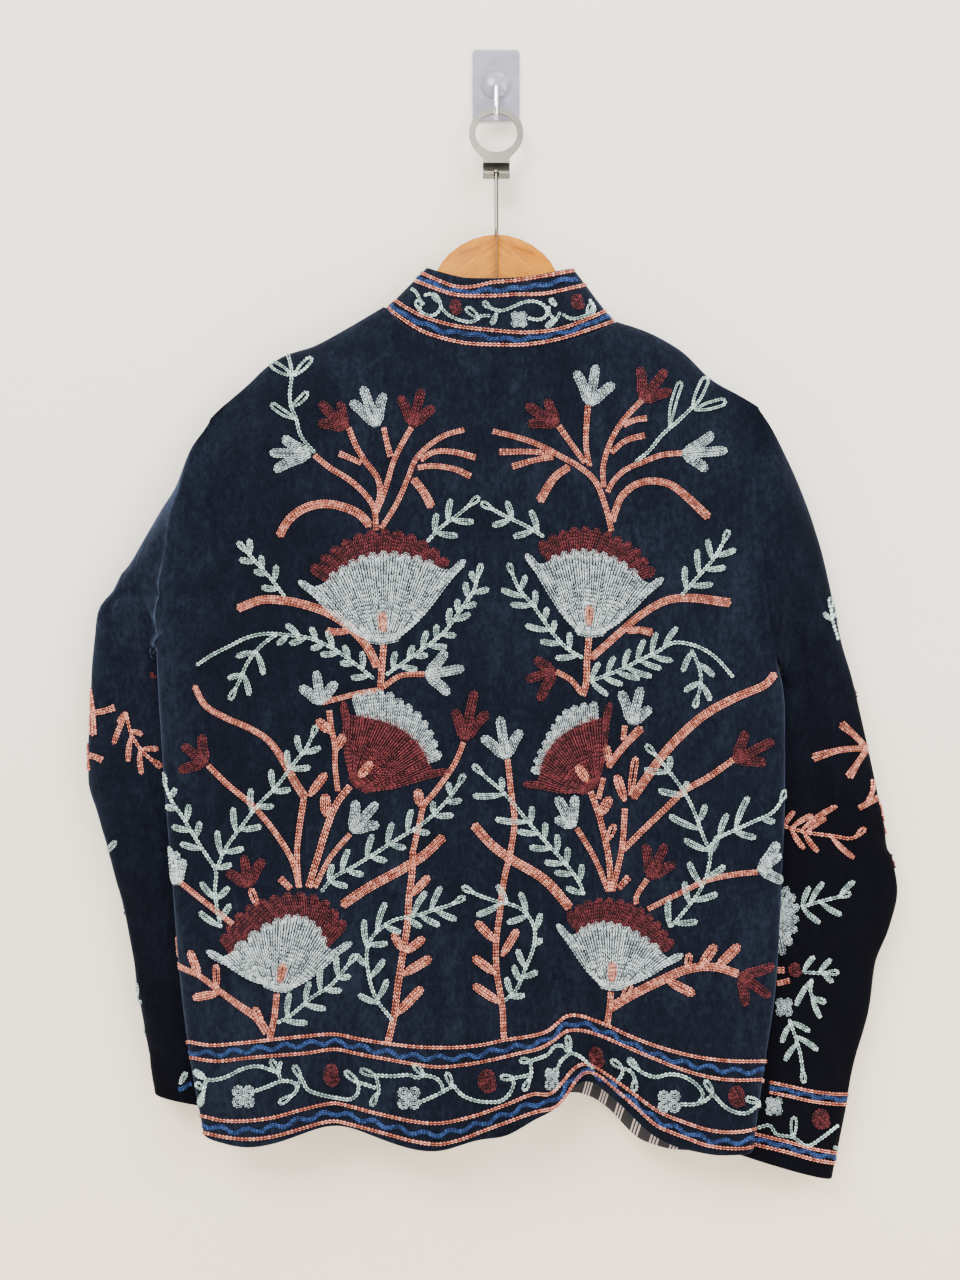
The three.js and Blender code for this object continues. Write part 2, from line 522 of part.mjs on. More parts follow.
// ---------- hanger ----------
const lean = Math.tan(THREE.MathUtils.degToRad(HANG.tilt));
const leanDepth = (z) => HANG.y - (HANG.z - z) * lean;

function armGeometry(table, sign) {
  const sides = 16;
  const length = table[table.length - 1].d;
  return loft(table.map((row) => {
    const ring = [];
    const zc = (row.top + row.low) / 2;
    const h = (row.top - row.low) / 2;
    for (let k = 0; k < sides; k += 1) {
      const a = (k / sides) * 2 * Math.PI;
      const c = Math.sign(Math.cos(a)) * Math.abs(Math.cos(a)) ** 0.45;
      const s = Math.sign(Math.sin(a)) * Math.abs(Math.sin(a)) ** 0.45;
      const z = zc + h * c;
      const bend = ARM_CURVE * (row.d / length) ** 2;
      ring.push(new THREE.Vector3(sign * row.d, leanDepth(z) + bend + row.half * s, z));
    }
    return ring;
  }));
}

function ringGeometry() {
  // local frame: the ring's inner top is the origin, x across, y up in the ring's plane
  const cy = -RING.inner;
  const shape = new THREE.Shape();
  const start = -0.72; // radians below the middle where the ring runs into its neck
  const steps = 36;
  const outline = [];
  for (let k = 0; k <= steps; k += 1) {
    const a = mix(start, Math.PI - start, k / steps);
    outline.push([RING.outer * Math.cos(a), cy + RING.outer * Math.sin(a)]);
  }
  const foot = cy - RING.reach;
  outline.push([-12.6, cy - 20.5], [-10.9, cy - 24], [-RING.neck, foot], [RING.neck, foot], [10.9, cy - 24], [12.6, cy - 20.5]);
  outline.forEach(([x, y], k) => (k ? shape.lineTo(x, y) : shape.moveTo(x, y)));
  shape.closePath();
  const hole = new THREE.Path();
  for (let k = 0; k <= 32; k += 1) {
    const a = -(k / 32) * 2 * Math.PI;
    const x = RING.inner * Math.cos(a);
    const y = cy + RING.inner * Math.sin(a) * (Math.sin(a) < 0 ? 0.97 : 1);
    if (k === 0) hole.moveTo(x, y);
    else if (k < 32) hole.lineTo(x, y);
  }
  hole.closePath();
  shape.holes.push(hole);
  const geometry = new THREE.ExtrudeGeometry(shape, { depth: RING.thick, bevelEnabled: false });
  geometry.translate(0, 0, -RING.thick / 2);
  geometry.rotateX(Math.PI / 2); // the shape's up becomes +Z
  return geometry;
}

// ---------- joins and cuts ----------
const wasm = await Module();
wasm.setup();

function asManifold(geometry) {
  const g = geometry.clone();
  g.deleteAttribute('normal');
  g.deleteAttribute('uv');
  const merged = mergeVertices(g, 1e-4);
  return new wasm.Manifold(new wasm.Mesh({
    numProp: 3,
    vertProperties: new Float32Array(merged.attributes.position.array),
    triVerts: new Uint32Array(merged.index.array),
  }));
}

function asGeometry(manifold) {
  const mesh = manifold.getMesh();
  const geometry = new THREE.BufferGeometry();
  geometry.setAttribute('position', new THREE.Float32BufferAttribute(mesh.vertProperties, 3));
  geometry.setIndex([...mesh.triVerts]);
  geometry.computeVertexNormals();
  return geometry;
}

function plateGeometry() {
  const w = PLATE.width / 2;
  const h = PLATE.height / 2;
  const r = PLATE.corner;
  const shape = new THREE.Shape();
  shape.moveTo(-w + r, -h);
  shape.lineTo(w - r, -h);
  shape.quadraticCurveTo(w, -h, w, -h + r);
  shape.lineTo(w, h - r);
  shape.quadraticCurveTo(w, h, w - r, h);
  shape.lineTo(-w + r, h);
  shape.quadraticCurveTo(-w, h, -w, h - r);
  shape.lineTo(-w, -h + r);
  shape.quadraticCurveTo(-w, -h, -w + r, -h);
  const plate = new THREE.ExtrudeGeometry(shape, { depth: PLATE.thick, bevelEnabled: false, curveSegments: 5 });
  plate.rotateX(Math.PI / 2); // now from y = 0 to y = -thick
  const profile = [new THREE.Vector2(0, 0)];
  for (let k = 0; k <= 8; k += 1) {
    const a = (k / 8) * (Math.PI / 2);
    profile.push(new THREE.Vector2(DOME.radius * Math.cos(a), 1 + DOME.height * Math.sin(a)));
  }
  profile[profile.length - 1].x = 0;
  const dome = new THREE.LatheGeometry(profile, 28);
  dome.rotateX(Math.PI); // the dome's top points to -y
  dome.translate(0, -PLATE.thick + 1, 0);
  const bore = new THREE.CylinderGeometry(WIRE.hole, WIRE.hole, 8, 20);
  bore.translate(0, -4.2 - 4, -4.2);
  return asGeometry(asManifold(plate).add(asManifold(dome)).subtract(asManifold(bore)));
}

function footGeometry() {
  // channel of bent sheet, open to the room, with a slot in its lower flange for the rod
  const { height, deep, sheet } = FOOT;
  const shape = new THREE.Shape();
  const pts = [[0, 0], [deep, 0], [deep, -sheet], [sheet, -sheet], [sheet, sheet - height], [deep, sheet - height], [deep, -height], [0, -height]];
  pts.forEach(([a, b], k) => (k ? shape.lineTo(a, b) : shape.moveTo(a, b)));
  shape.closePath();
  const channel = new THREE.ExtrudeGeometry(shape, { depth: FOOT.width, bevelEnabled: false });
  channel.translate(0, 0, -FOOT.width / 2);
  // shape x goes towards the room (-Y), shape y stays up (+Z), the extrusion runs along X
  channel.applyMatrix4(new THREE.Matrix4().set(0, 0, -1, 0, -1, 0, 0, 0, 0, 1, 0, 0, 0, 0, 0, 1));
  const slot = new THREE.BoxGeometry(FOOT.slot, deep, 4);
  slot.translate(0, -deep / 2 - 4, -height + sheet / 2);
  return { channel, slot };
}

// ---------- scene graph ----------
const velvet = new THREE.MeshStandardMaterial({ color: 0x141c28, roughness: 0.95, metalness: 0 });
const stripes = new THREE.MeshStandardMaterial({ color: 0xd8cfcb, roughness: 0.9, metalness: 0 });
const wood = new THREE.MeshStandardMaterial({ color: 0xdda54c, roughness: 0.45, metalness: 0 });
const steel = new THREE.MeshStandardMaterial({ color: 0xc9ccd0, roughness: 0.25, metalness: 1 });
const clear = new THREE.MeshStandardMaterial({ color: 0xc8c9d8, roughness: 0.1, metalness: 0, transparent: true, opacity: 0.5 });

const jacket = new THREE.Group();
function add(name, geometry, material, parent = jacket) {
  const mesh = new THREE.Mesh(geometry, material);
  mesh.name = name;
  parent.add(mesh);
  return mesh;
}

// the wall's inner face is on the garment's inside for each grid's direction of travel
const flip = (grid) => grid.map((line) => [...line].reverse());
add('back', wall(flip(backGrid), CLOTH), velvet);
add('front_left', wall(leftGrid, CLOTH), velvet);
add('front_right', wall(rightGrid, CLOTH), velvet);
add('hem_facing', wall(facingGrid(), FACING), stripes);
add('sleeve_left', wall(sleeveGrid('left'), CLOTH, true), velvet);
add('sleeve_right', wall(sleeveGrid('right'), CLOTH, true), velvet);
add('collar', wall(flip(collarGrid()), CLOTH), velvet);

add('hanger_arm_left', armGeometry(ARM_LEFT, -1), wood);
add('hanger_arm_right', armGeometry(ARM_RIGHT, 1), wood);

const hanging = new THREE.Group(); // ring, foot and rod share the lean of the hanger
hanging.position.set(0, HANG.y, HANG.z);
hanging.rotation.x = -THREE.MathUtils.degToRad(HANG.tilt);
jacket.add(hanging);
const footTop = -RING.inner - RING.reach; // local height where the neck meets the foot
const { channel, slot } = footGeometry();
const foot = asManifold(channel).subtract(asManifold(slot));
const ring = ringGeometry();
const footPlaced = asGeometry(foot);
footPlaced.translate(0, RING.thick / 2, footTop + 0.8);
add('hanger_ring', asGeometry(asManifold(ring).add(asManifold(footPlaced))), steel, hanging);

const rodTop = footTop + 0.8 - FOOT.height + FOOT.sheet + 0.35; // head rests on the lower flange
const rodLow = (-138 - HANG.z) / Math.cos(THREE.MathUtils.degToRad(HANG.tilt)) + 0.4;
const rodY = RING.thick / 2 - 6.2;
const rodProfile = [
  [0, rodLow], [ROD.radius, rodLow], [ROD.radius, rodTop], [ROD.head, rodTop],
  [ROD.head, rodTop + ROD.headThick], [0, rodTop + ROD.headThick],
].map(([r, z]) => new THREE.Vector2(r, z));
const rod = new THREE.LatheGeometry(rodProfile, 16);
rod.rotateX(Math.PI / 2); // the lathe's axis becomes Z
add('hanger_rod', rod, steel, hanging).position.set(0, rodY, 0);

add('hook_plate', plateGeometry(), clear);

class HookCurve extends THREE.Curve {
  constructor() {
    super();
    this.path = new THREE.CatmullRomCurve3(HOOK_PATH.map((p) => new THREE.Vector3(0, p.y, p.z)));
  }

  getPoint(t, target = new THREE.Vector3()) {
    return this.path.getPoint(t, target);
  }
}
function hookGeometry() {
  const curve = new HookCurve();
  const steps = 34;
  const rings = [];
  for (let i = 0; i <= steps; i += 1) {
    const p = curve.getPointAt(i / steps);
    const t = curve.getTangentAt(i / steps);
    const side = new THREE.Vector3(0, -t.z, t.y).normalize(); // across the wire, in its plane
    const r = WIRE.radius * (i === steps ? 0.55 : 1);
    const ringPoints = [];
    for (let k = 0; k < 12; k += 1) {
      const a = (k / 12) * 2 * Math.PI;
      ringPoints.push(p.clone().addScaledVector(side, r * Math.cos(a)).add(new THREE.Vector3(r * Math.sin(a), 0, 0)));
    }
    rings.push(ringPoints);
  }
  return loft(rings);
}
add('hook_wire', hookGeometry(), steel);

export default jacket;
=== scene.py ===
# An embroidered velvet jacket, hung by its shoulders on a wooden hanger whose steel ring
# hangs on a small adhesive wall hook. The cloth is rebuilt at a finer step on the packed
# model's own form, and the chain stitch is modelled link by link.
# Tables are in millimetres in the row frame (+Z up, the wall is y = 0, the room is on -Y).
# Motif places are in units of a 960 x 1280 picture frame.
import math

import bpy
import mathutils
import numpy as np
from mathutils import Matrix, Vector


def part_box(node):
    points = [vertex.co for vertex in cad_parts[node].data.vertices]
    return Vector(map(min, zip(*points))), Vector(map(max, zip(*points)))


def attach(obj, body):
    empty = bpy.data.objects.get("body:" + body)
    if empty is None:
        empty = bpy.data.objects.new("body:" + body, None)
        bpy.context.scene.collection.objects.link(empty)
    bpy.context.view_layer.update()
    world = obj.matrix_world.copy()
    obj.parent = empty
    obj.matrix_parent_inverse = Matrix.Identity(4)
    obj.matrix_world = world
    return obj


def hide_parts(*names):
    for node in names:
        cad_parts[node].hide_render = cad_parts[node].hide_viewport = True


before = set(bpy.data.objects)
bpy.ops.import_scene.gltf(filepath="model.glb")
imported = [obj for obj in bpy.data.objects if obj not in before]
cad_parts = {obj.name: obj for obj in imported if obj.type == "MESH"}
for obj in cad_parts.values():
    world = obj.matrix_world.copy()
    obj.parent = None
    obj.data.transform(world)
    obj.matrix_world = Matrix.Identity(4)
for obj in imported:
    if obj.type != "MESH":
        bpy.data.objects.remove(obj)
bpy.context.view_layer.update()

# ---------------------------------------------------------------- camera
EYE = np.array([-13.9, -1275.0, -482.4])
FOCAL = 1463.4  # picture units
MIDDLE = (480.0, 640.0)


def to_picture(p):
    k = (p[..., 1] - EYE[1]) / FOCAL
    return MIDDLE[0] + (p[..., 0] - EYE[0]) / k, MIDDLE[1] - (p[..., 2] - EYE[2]) / k


camera_data = bpy.data.cameras.new("camera")
camera_data.sensor_width = 36
camera_data.lens = FOCAL * 36 / 1280
camera = bpy.data.objects.new("camera", camera_data)
camera.location = EYE / 1000
camera.rotation_euler = (math.pi / 2, 0, 0)
bpy.context.collection.objects.link(camera)
bpy.context.scene.camera = camera

# ---------------------------------------------------------------- sizes and tables (mm)
CLOTH = 2.0
SEAM = 0.5
FACING = 1.0
SIDE_ROLL = 9
ROLL_REACH = 12
SHOULDER_ROLL = 62
CUFF_STRIP = 62
TIP_LEFT = (-240, -294)
TIP_RIGHT = (221, -286)
ARMHOLE_ROWS = {"left": 9, "right": 10}
UNDERARM = {"left": -484, "right": -496}
OPENING = 1.5


def table(names, rows):
    data = np.array(rows, float)
    return {n: data[:, i] for i, n in enumerate(names.split())}


EDGE_LEFT = table("z x", [
    (-294, -240), (-314, -245), (-336, -244), (-364, -240), (-399, -238), (-426, -241), (-445, -249),
    (-468, -266), (-486, -283), (-517, -282), (-551, -280), (-623, -275), (-684, -270), (-760, -264),
    (-826, -256), (-893, -244),
])
EDGE_RIGHT = table("z x", [
    (-286, 221), (-307, 219), (-345, 216), (-392, 219), (-421, 222), (-460, 225), (-499, 232), (-520, 238),
    (-545, 240), (-606, 240), (-686, 237), (-731, 235), (-774, 232), (-829, 224), (-907, 213),
])
SHOULDER_LEFT = table("x z y", [
    (-240, -294, -37), (-231, -285, -38), (-209, -266, -39), (-194, -252, -40), (-177, -242, -41),
    (-155, -235, -41), (-132, -223, -41), (-94, -201, -42),
])
SHOULDER_RIGHT = table("x z y", [
    (101, -214, -42), (125, -222, -42), (155, -238, -41), (182, -263, -40), (207, -277, -39),
    (221, -286, -37),
])
NECK_BACK = table("x z y", [
    (-94, -201, -42), (-91, -205, -49), (-82, -216, -55), (-66, -227, -61), (-37, -238, -67),
    (0, -245, -70), (33, -242, -68), (61, -234, -63), (84, -225, -58), (96, -218, -52), (101, -214, -42),
])
NECK_FRONT = table("x z y", [
    (-94, -201, -41.5), (-92, -202, -32), (-89, -206, -25), (-83, -222, -19), (-66, -250, -14),
    (-36, -275, -11), (0, -286, -10), (40, -278, -11), (70, -257, -14), (90, -233, -18), (96, -219, -24),
    (99, -214.5, -32), (101, -214, -41.5),
])
HEM_BACK = table("x z", [
    (-244, -893), (-207, -900), (-134, -885), (-50, -900), (-14, -892), (3, -889), (32, -875), (50, -871),
    (62, -861), (76, -852), (98, -863), (129, -888), (155, -900), (189, -907), (213, -907),
])
HEM_FRONT = table("x z", [
    (-244, -893), (-200, -892), (-100, -888), (-12, -880), (40, -868), (66, -868), (79, -872), (98, -885),
    (124, -905), (135, -907), (160, -909), (213, -907),
])
DEPTH = table("z back front backEdge frontEdge", [
    (-200, -64, -14, -37, -36.5), (-294, -69, -12, -37, -36.5), (-320, -71, -11, -46, -28),
    (-345, -72, -10, -52, -22), (-380, -73, -9, -57, -18), (-420, -74, -9, -61, -20),
    (-455, -74, -9, -64, -34), (-484, -75, -9, -66, -48), (-650, -77, -8, -66, -48),
    (-800, -75, -8, -66, -48), (-910, -72, -8, -66, -48),
])
FOLDS_BACK = table("x0 z0 x1 z1 deep half", [
    (-128, -760, -134, -890, 12, 26), (44, -715, 70, -870, 30, 30), (8, -740, 26, -880, -8, 30),
    (120, -760, 128, -895, -6, 34), (-60, -780, -62, -900, -7, 34),
])
FOLDS_FRONT = table("x0 z0 x1 z1 deep half", [
    (-150, -700, -160, -890, -9, 30), (-70, -640, -78, -890, -14, 34), (60, -650, 62, -880, -16, 34),
    (130, -720, 120, -900, -8, 26),
])
COLLAR_BACK = table("at x z y", [
    (-94, -60, -168, -42), (-82, -54, -172, -48), (-66, -45, -176, -54), (-37, -24, -182, -60),
    (0, 0, -183, -63), (33, 24, -181, -60), (61, 44, -176, -54), (84, 57, -172, -48), (101, 66, -169, -42),
])
COLLAR_FRONT = table("at x z y", [
    (-94, -60, -168, -42), (-92, -59, -170, -36), (-89, -58, -174, -30), (-83, -55, -182, -25),
    (-66, -44, -200, -20), (-36, -25, -222, -16), (0, 0, -236, -14), (40, 27, -224, -16),
    (70, 47, -204, -20), (90, 60, -186, -25), (96, 63, -176, -30), (99, 65, -171, -36),
    (101, 66, -169, -42),
])
SLEEVE_LEFT = table("ox oz ix iz oy iy room wall", [
    (-256, -321, -288, -491, -37, -49, 21, 20), (-270, -352, -289, -494, -36, -43, 21, 20),
    (-290, -384, -289, -497, -34, -38, 20, 19), (-307, -412, -288, -500, -32, -33, 19, 18),
    (-326, -440, -286, -504, -30, -29, 18, 18), (-339, -458, -281, -510, -28, -26, 18, 18),
    (-342, -480, -272, -520, -27, -25, 16, 17), (-345, -509, -258, -538, -26, -25, 16, 17),
    (-346, -540, -243, -562, -26, -25, 17, 17), (-348, -575, -230, -592, -26, -26, 17, 17),
    (-348, -600, -222, -618, -26, -26, 17, 17), (-340, -630, -217, -648, -26, -26, 17, 17),
    (-331, -662, -213, -680, -26, -26, 17, 17), (-321, -700, -210, -714, -26, -26, 17, 17),
    (-311, -745, -206, -756, -26, -26, 17, 17), (-303, -789, -201, -800, -26, -26, 18, 17),
    (-297, -832, -196, -842, -26, -26, 18, 18), (-291, -868, -192, -882, -26, -26, 18, 18),
])
SLEEVE_RIGHT = table("ox oz ix iz oy iy room wall", [
    (232, -303, 237, -505, -37, -49, 21, 20), (248, -335, 240, -508, -36, -43, 21, 20),
    (262, -368, 242, -511, -34, -38, 20, 19), (275, -405, 241, -514, -32, -33, 19, 18),
    (285, -446, 240, -518, -30, -29, 18, 18), (293, -483, 239, -524, -28, -26, 18, 18),
    (303, -515, 232, -534, -27, -25, 16, 17), (311, -548, 221, -552, -26, -25, 16, 17),
    (319, -584, 210, -588, -26, -25, 17, 17), (327, -622, 205, -634, -26, -26, 17, 17),
    (336, -662, 201, -670, -26, -26, 17, 17), (342, -696, 199, -708, -26, -26, 17, 17),
    (335, -727, 196, -742, -26, -26, 17, 17), (323, -758, 192, -772, -26, -26, 17, 17),
    (318, -795, 189, -808, -26, -26, 17, 17), (306, -840, 185, -848, -26, -26, 18, 17),
    (297, -886, 182, -884, -26, -26, 18, 18), (286, -940, 180, -908, -26, -26, 18, 18),
])
ROWS = [0, 0.02, 0.05, 0.09, 0.14, 0.19, 0.235, 0.275, 0.305, 0.32, 0.34, 0.37, 0.42,
        0.49, 0.57, 0.65, 0.73, 0.8, 0.86, 0.91, 0.95, 0.98, 1]


# ---------------------------------------------------------------- small maths
def smooth(t):
    s = np.clip(t, 0, 1)
    return s * s * (3 - 2 * s)


def quarter(t):
    s = np.clip(t, 0, 1)
    return np.sqrt(1 - (1 - s) ** 2)


def mix(a, b, t):
    return a + (b - a) * t


def unit(v):
    return v / np.maximum(np.linalg.norm(v, axis=-1, keepdims=True), 1e-9)


def slopes(x, y):
    """Tangents of a curve through points, which never overshoots."""
    h = np.diff(x)
    s = np.diff(y, axis=0) / h.reshape(-1, *[1] * (y.ndim - 1))
    m = np.empty_like(y)
    m[0], m[-1] = s[0], s[-1]
    a, b = s[:-1], s[1:]
    total = np.where(np.abs(a + b) < 1e-12, 1, a + b)
    m[1:-1] = np.where(a * b <= 0, 0, 2 * a * b / total)
    return m


def along(x, y, at):
    """Value at each place of the smooth curve through (x, y); y may have more axes."""
    x, y = np.asarray(x, float), np.asarray(y, float)
    if x[0] > x[-1]:
        x, y = x[::-1], y[::-1]
    m = slopes(x, y)
    at = np.clip(np.asarray(at, float), x[0], x[-1])
    i = np.clip(np.searchsorted(x, at, side="right") - 1, 0, len(x) - 2)
    h = x[i + 1] - x[i]
    t = (at - x[i]) / h
    more = [1] * (y.ndim - 1)
    t, h = t.reshape(*t.shape, *more), h.reshape(*h.shape, *more)
    t2, t3 = t * t, t * t * t
    return ((2 * t3 - 3 * t2 + 1) * y[i] + (t3 - 2 * t2 + t) * h * m[i]
            + (3 * t2 - 2 * t3) * y[i + 1] + (t3 - t2) * h * m[i + 1])


def sown(n, seed):
    """n repeatable numbers from 0 to 1."""
    return np.random.default_rng(seed).random(n)


# ---------------------------------------------------------------- the body's form
def left_edge(z):
    return along(EDGE_LEFT["z"], EDGE_LEFT["x"], z)


def right_edge(z):
    return along(EDGE_RIGHT["z"], EDGE_RIGHT["x"], z)


def middle(z):
    return mix(0, -12, smooth((-286 - z) / 600))


def top_edge(x, column, front):
    neck = NECK_FRONT if front else NECK_BACK
    lift = SEAM if front and column == "y" else 0
    value = along(neck["x"], neck[column], x)
    value = np.where(x < -94, along(SHOULDER_LEFT["x"], SHOULDER_LEFT[column], x) + lift, value)
    return np.where(x > 101, along(SHOULDER_RIGHT["x"], SHOULDER_RIGHT[column], x) + lift, value)


def fold_depth(folds, x, z):
    total = np.zeros_like(x)
    for x0, z0, x1, z1, deep, half in zip(*(folds[n] for n in "x0 z0 x1 z1 deep half".split())):
        t = (z0 - z) / (z0 - z1)
        across = (x - mix(x0, x1, t)) / half
        total += np.where(t > 0, deep * smooth(t) * np.exp(-across * across), 0)
    return total


def crease_depth(creases, x, z):
    """Sum of soft creases: each a line of (x, z) points, its depth and its half width."""
    total = np.zeros_like(x)
    for points, deep, half in creases:
        p = np.array(points, float)
        reach = 3 * half
        lo, hi = p.min(0) - reach, p.max(0) + reach
        near = (x > lo[0]) & (x < hi[0]) & (z > lo[1]) & (z < hi[1])
        if not near.any():
            continue
        q = np.stack([x[near], z[near]], 1)
        best = np.full(len(q), 1e9)
        place = np.zeros(len(q))
        length = np.concatenate([[0], np.cumsum(np.linalg.norm(np.diff(p, axis=0), axis=1))])
        for i in range(len(p) - 1):
            d = p[i + 1] - p[i]
            t = np.clip(((q - p[i]) @ d) / (d @ d), 0, 1)
            gap = np.linalg.norm(q - (p[i] + t[:, None] * d), axis=1)
            hit = gap < best
            best[hit] = gap[hit]
            place[hit] = (length[i] + t[hit] * (length[i + 1] - length[i])) / length[-1]
        fade = smooth(place * 3.2) * smooth((1 - place) * 3.2)
        total[near] += deep * fade * np.exp(-((best / half) ** 2))
    return total


def back_depth(x, z, edge, roll):
    rim = along(DEPTH["z"], DEPTH["backEdge"], z)
    inner = along(DEPTH["z"], DEPTH["back"], z)
    curl = SIDE_ROLL * roll * (1 - quarter(edge / ROLL_REACH))
    return (mix(rim, inner, np.sin(np.clip(edge / 110, 0, 1) * math.pi / 2)) + curl
            + fold_depth(FOLDS_BACK, x, z) * smooth(edge / 40)
            + crease_depth(CREASES_BACK, x, z) * smooth(edge / 22))


def front_depth(x, z, edge, roll):
    rim = along(DEPTH["z"], DEPTH["frontEdge"], z)
    inner = along(DEPTH["z"], DEPTH["front"], z)
    high, low = smooth(edge / 60), smooth((edge - CUFF_STRIP) / 60)
    curl = SIDE_ROLL * roll * (1 - quarter(edge / ROLL_REACH))
    return (mix(rim, inner, mix(high, low, smooth((-440 - z) / 70))) - curl
            + fold_depth(FOLDS_FRONT, x, z) * smooth((edge - CUFF_STRIP) / 60)
            + crease_depth(CREASES_FRONT, x, z) * smooth((edge - CUFF_STRIP * 0.6) / 40))


def body_point(side, across, down):
    """Outer point of a body panel, across from 0 to 1 and down from 0 to 1."""
    across, down = np.broadcast_arrays(np.asarray(across, float), np.asarray(down, float))
    front = side != "back"
    top_left = OPENING if side == "right" else TIP_LEFT[0]
    top_right = -OPENING if side == "left" else TIP_RIGHT[0]
    x_top = mix(top_left, top_right, across)
    z_top = top_edge(x_top, "z", front)
    hem = HEM_FRONT if front else HEM_BACK
    x = x_top
    for _ in range(3):
        z = mix(z_top, along(hem["x"], hem["z"], x), down)
        low = middle(z) + OPENING if side == "right" else left_edge(z)
        high = middle(z) - OPENING if side == "left" else right_edge(z)
        x = np.where(down == 0, x_top, mix(low, high, across))
    edge = np.minimum(x - left_edge(z), right_edge(z) - x)
    under = np.where(x - left_edge(z) < right_edge(z) - x, UNDERARM["left"], UNDERARM["right"])
    roll = smooth((under - z) / 10)
    y = front_depth(x, z, edge, roll) if front else back_depth(x, z, edge, roll)
    drop = quarter((z_top - z) / SHOULDER_ROLL)
    seam = SEAM / 2 if front else -SEAM / 2
    return np.stack([x, mix(top_edge(x_top, "y", front), y + seam, drop), z], -1)


# soft creases besides the large folds: (x, z) lines, depth (troughs of the back positive,
# ridges negative) and half width
CREASES_BACK = [
    ([(-150, -243), (-110, -246), (-60, -244)], 2.2, 9),
    ([(-165, -262), (-110, -258), (-50, -262)], -2.0, 12),
    ([(-232, -330), (-205, -400), (-196, -470)], 2.2, 14),
    ([(208, -330), (196, -400), (190, -480)], 2.0, 14),
    ([(-268, -498), (-225, -520), (-180, -560)], 2.4, 13),
    ([(-262, -528), (-215, -560), (-170, -610)], -2.4, 14),
    ([(-250, -600), (-222, -660), (-214, -740)], 2.0, 16),
    ([(-232, -640), (-196, -720), (-190, -800)], -2.2, 18),
    ([(-214, -700), (-206, -780), (-212, -870)], 2.4, 15),
    ([(228, -508), (192, -530), (150, -575)], 2.2, 13),
    ([(224, -545), (180, -585), (150, -640)], -2.0, 15),
    ([(222, -610), (196, -690), (190, -760)], 1.8, 16),
    ([(190, -720), (178, -800), (180, -880)], -2.6, 20),
    ([(206, -760), (200, -830), (204, -890)], 2.2, 13),
    ([(-120, -560), (-128, -650), (-126, -740)], 1.6, 22),
    ([(-134, -745), (-133, -820), (-136, -893)], 3.4, 8),
    ([(-116, -770), (-114, -830), (-112, -890)], -2.2, 12),
    ([(-20, -620), (-16, -720), (-24, -800)], 1.8, 20),
    ([(-96, -640), (-88, -740), (-92, -860)], -1.6, 22),
    ([(52, -690), (50, -740), (46, -790)], 5.5, 8),
    ([(34, -700), (34, -750), (30, -812)], -3.6, 10),
    ([(86, -720), (92, -790), (104, -860)], -2.8, 15),
    ([(100, -560), (96, -640), (84, -700)], 1.6, 20),
    ([(-20, -300), (-14, -380), (-18, -460)], 1.4, 26),
    ([(60, -330), (52, -420), (56, -500)], -1.4, 26),
    ([(-90, -330), (-84, -420), (-92, -500)], -1.4, 26),
    ([(-60, -780), (-54, -830), (-58, -890)], -1.6, 12),
    ([(150, -640), (140, -720), (146, -800)], 1.8, 18),
]
CREASES_FRONT = [
    ([(-120, -330), (-112, -450), (-118, -560)], 2.0, 22),
    ([(96, -330), (104, -460), (98, -580)], 2.2, 24),
    ([(-40, -420), (-44, -560), (-36, -700)], -2.2, 26),
    ([(36, -400), (30, -540), (38, -660)], -2.0, 24),
    ([(-110, -620), (-112, -740), (-106, -860)], 2.6, 18),
    ([(96, -600), (94, -720), (100, -850)], 2.8, 18),
    ([(-34, -700), (-30, -800), (-36, -870)], 2.4, 16),
    ([(30, -690), (34, -780), (28, -860)], -2.2, 18),
    ([(-160, -520), (-130, -560), (-96, -640)], -2.0, 16),
    ([(140, -530), (112, -575), (84, -640)], -2.0, 16),
]


# ---------------------------------------------------------------- meshes
def mesh_object(name, points, faces, material, soft=True):
    """Object from points in mm and faces that all have the same number of corners."""
    me = bpy.data.meshes.new(name)
    faces = np.asarray(faces, np.int32)
    me.vertices.add(len(points))
    me.vertices.foreach_set("co", (np.asarray(points) / 1000).astype(np.float32).ravel())
    me.loops.add(faces.size)
    me.loops.foreach_set("vertex_index", faces.ravel())
    me.polygons.add(len(faces))
    me.polygons.foreach_set("loop_start", np.arange(0, faces.size, faces.shape[1], dtype=np.int32))
    me.polygons.foreach_set("use_smooth", np.full(len(faces), soft))
    me.update(calc_edges=True)
    me.validate()
    me.materials.append(material)
    ob = bpy.data.objects.new(name, me)
    bpy.context.collection.objects.link(ob)
    return ob


def grid_normals(grid, loop, away):
    """Unit normals of a grid; away(grid) gives rough outward directions."""
    if loop:
        wide = np.concatenate([grid[:, -1:], grid, grid[:, :1]], 1)
        du = (wide[:, 2:] - wide[:, :-2]) / 2
    else:
        du = np.gradient(grid, axis=1)
    n = unit(np.cross(du, np.gradient(grid, axis=0)))
    sign = np.sign(np.sum(n * away))
    return n * (sign if sign else 1)


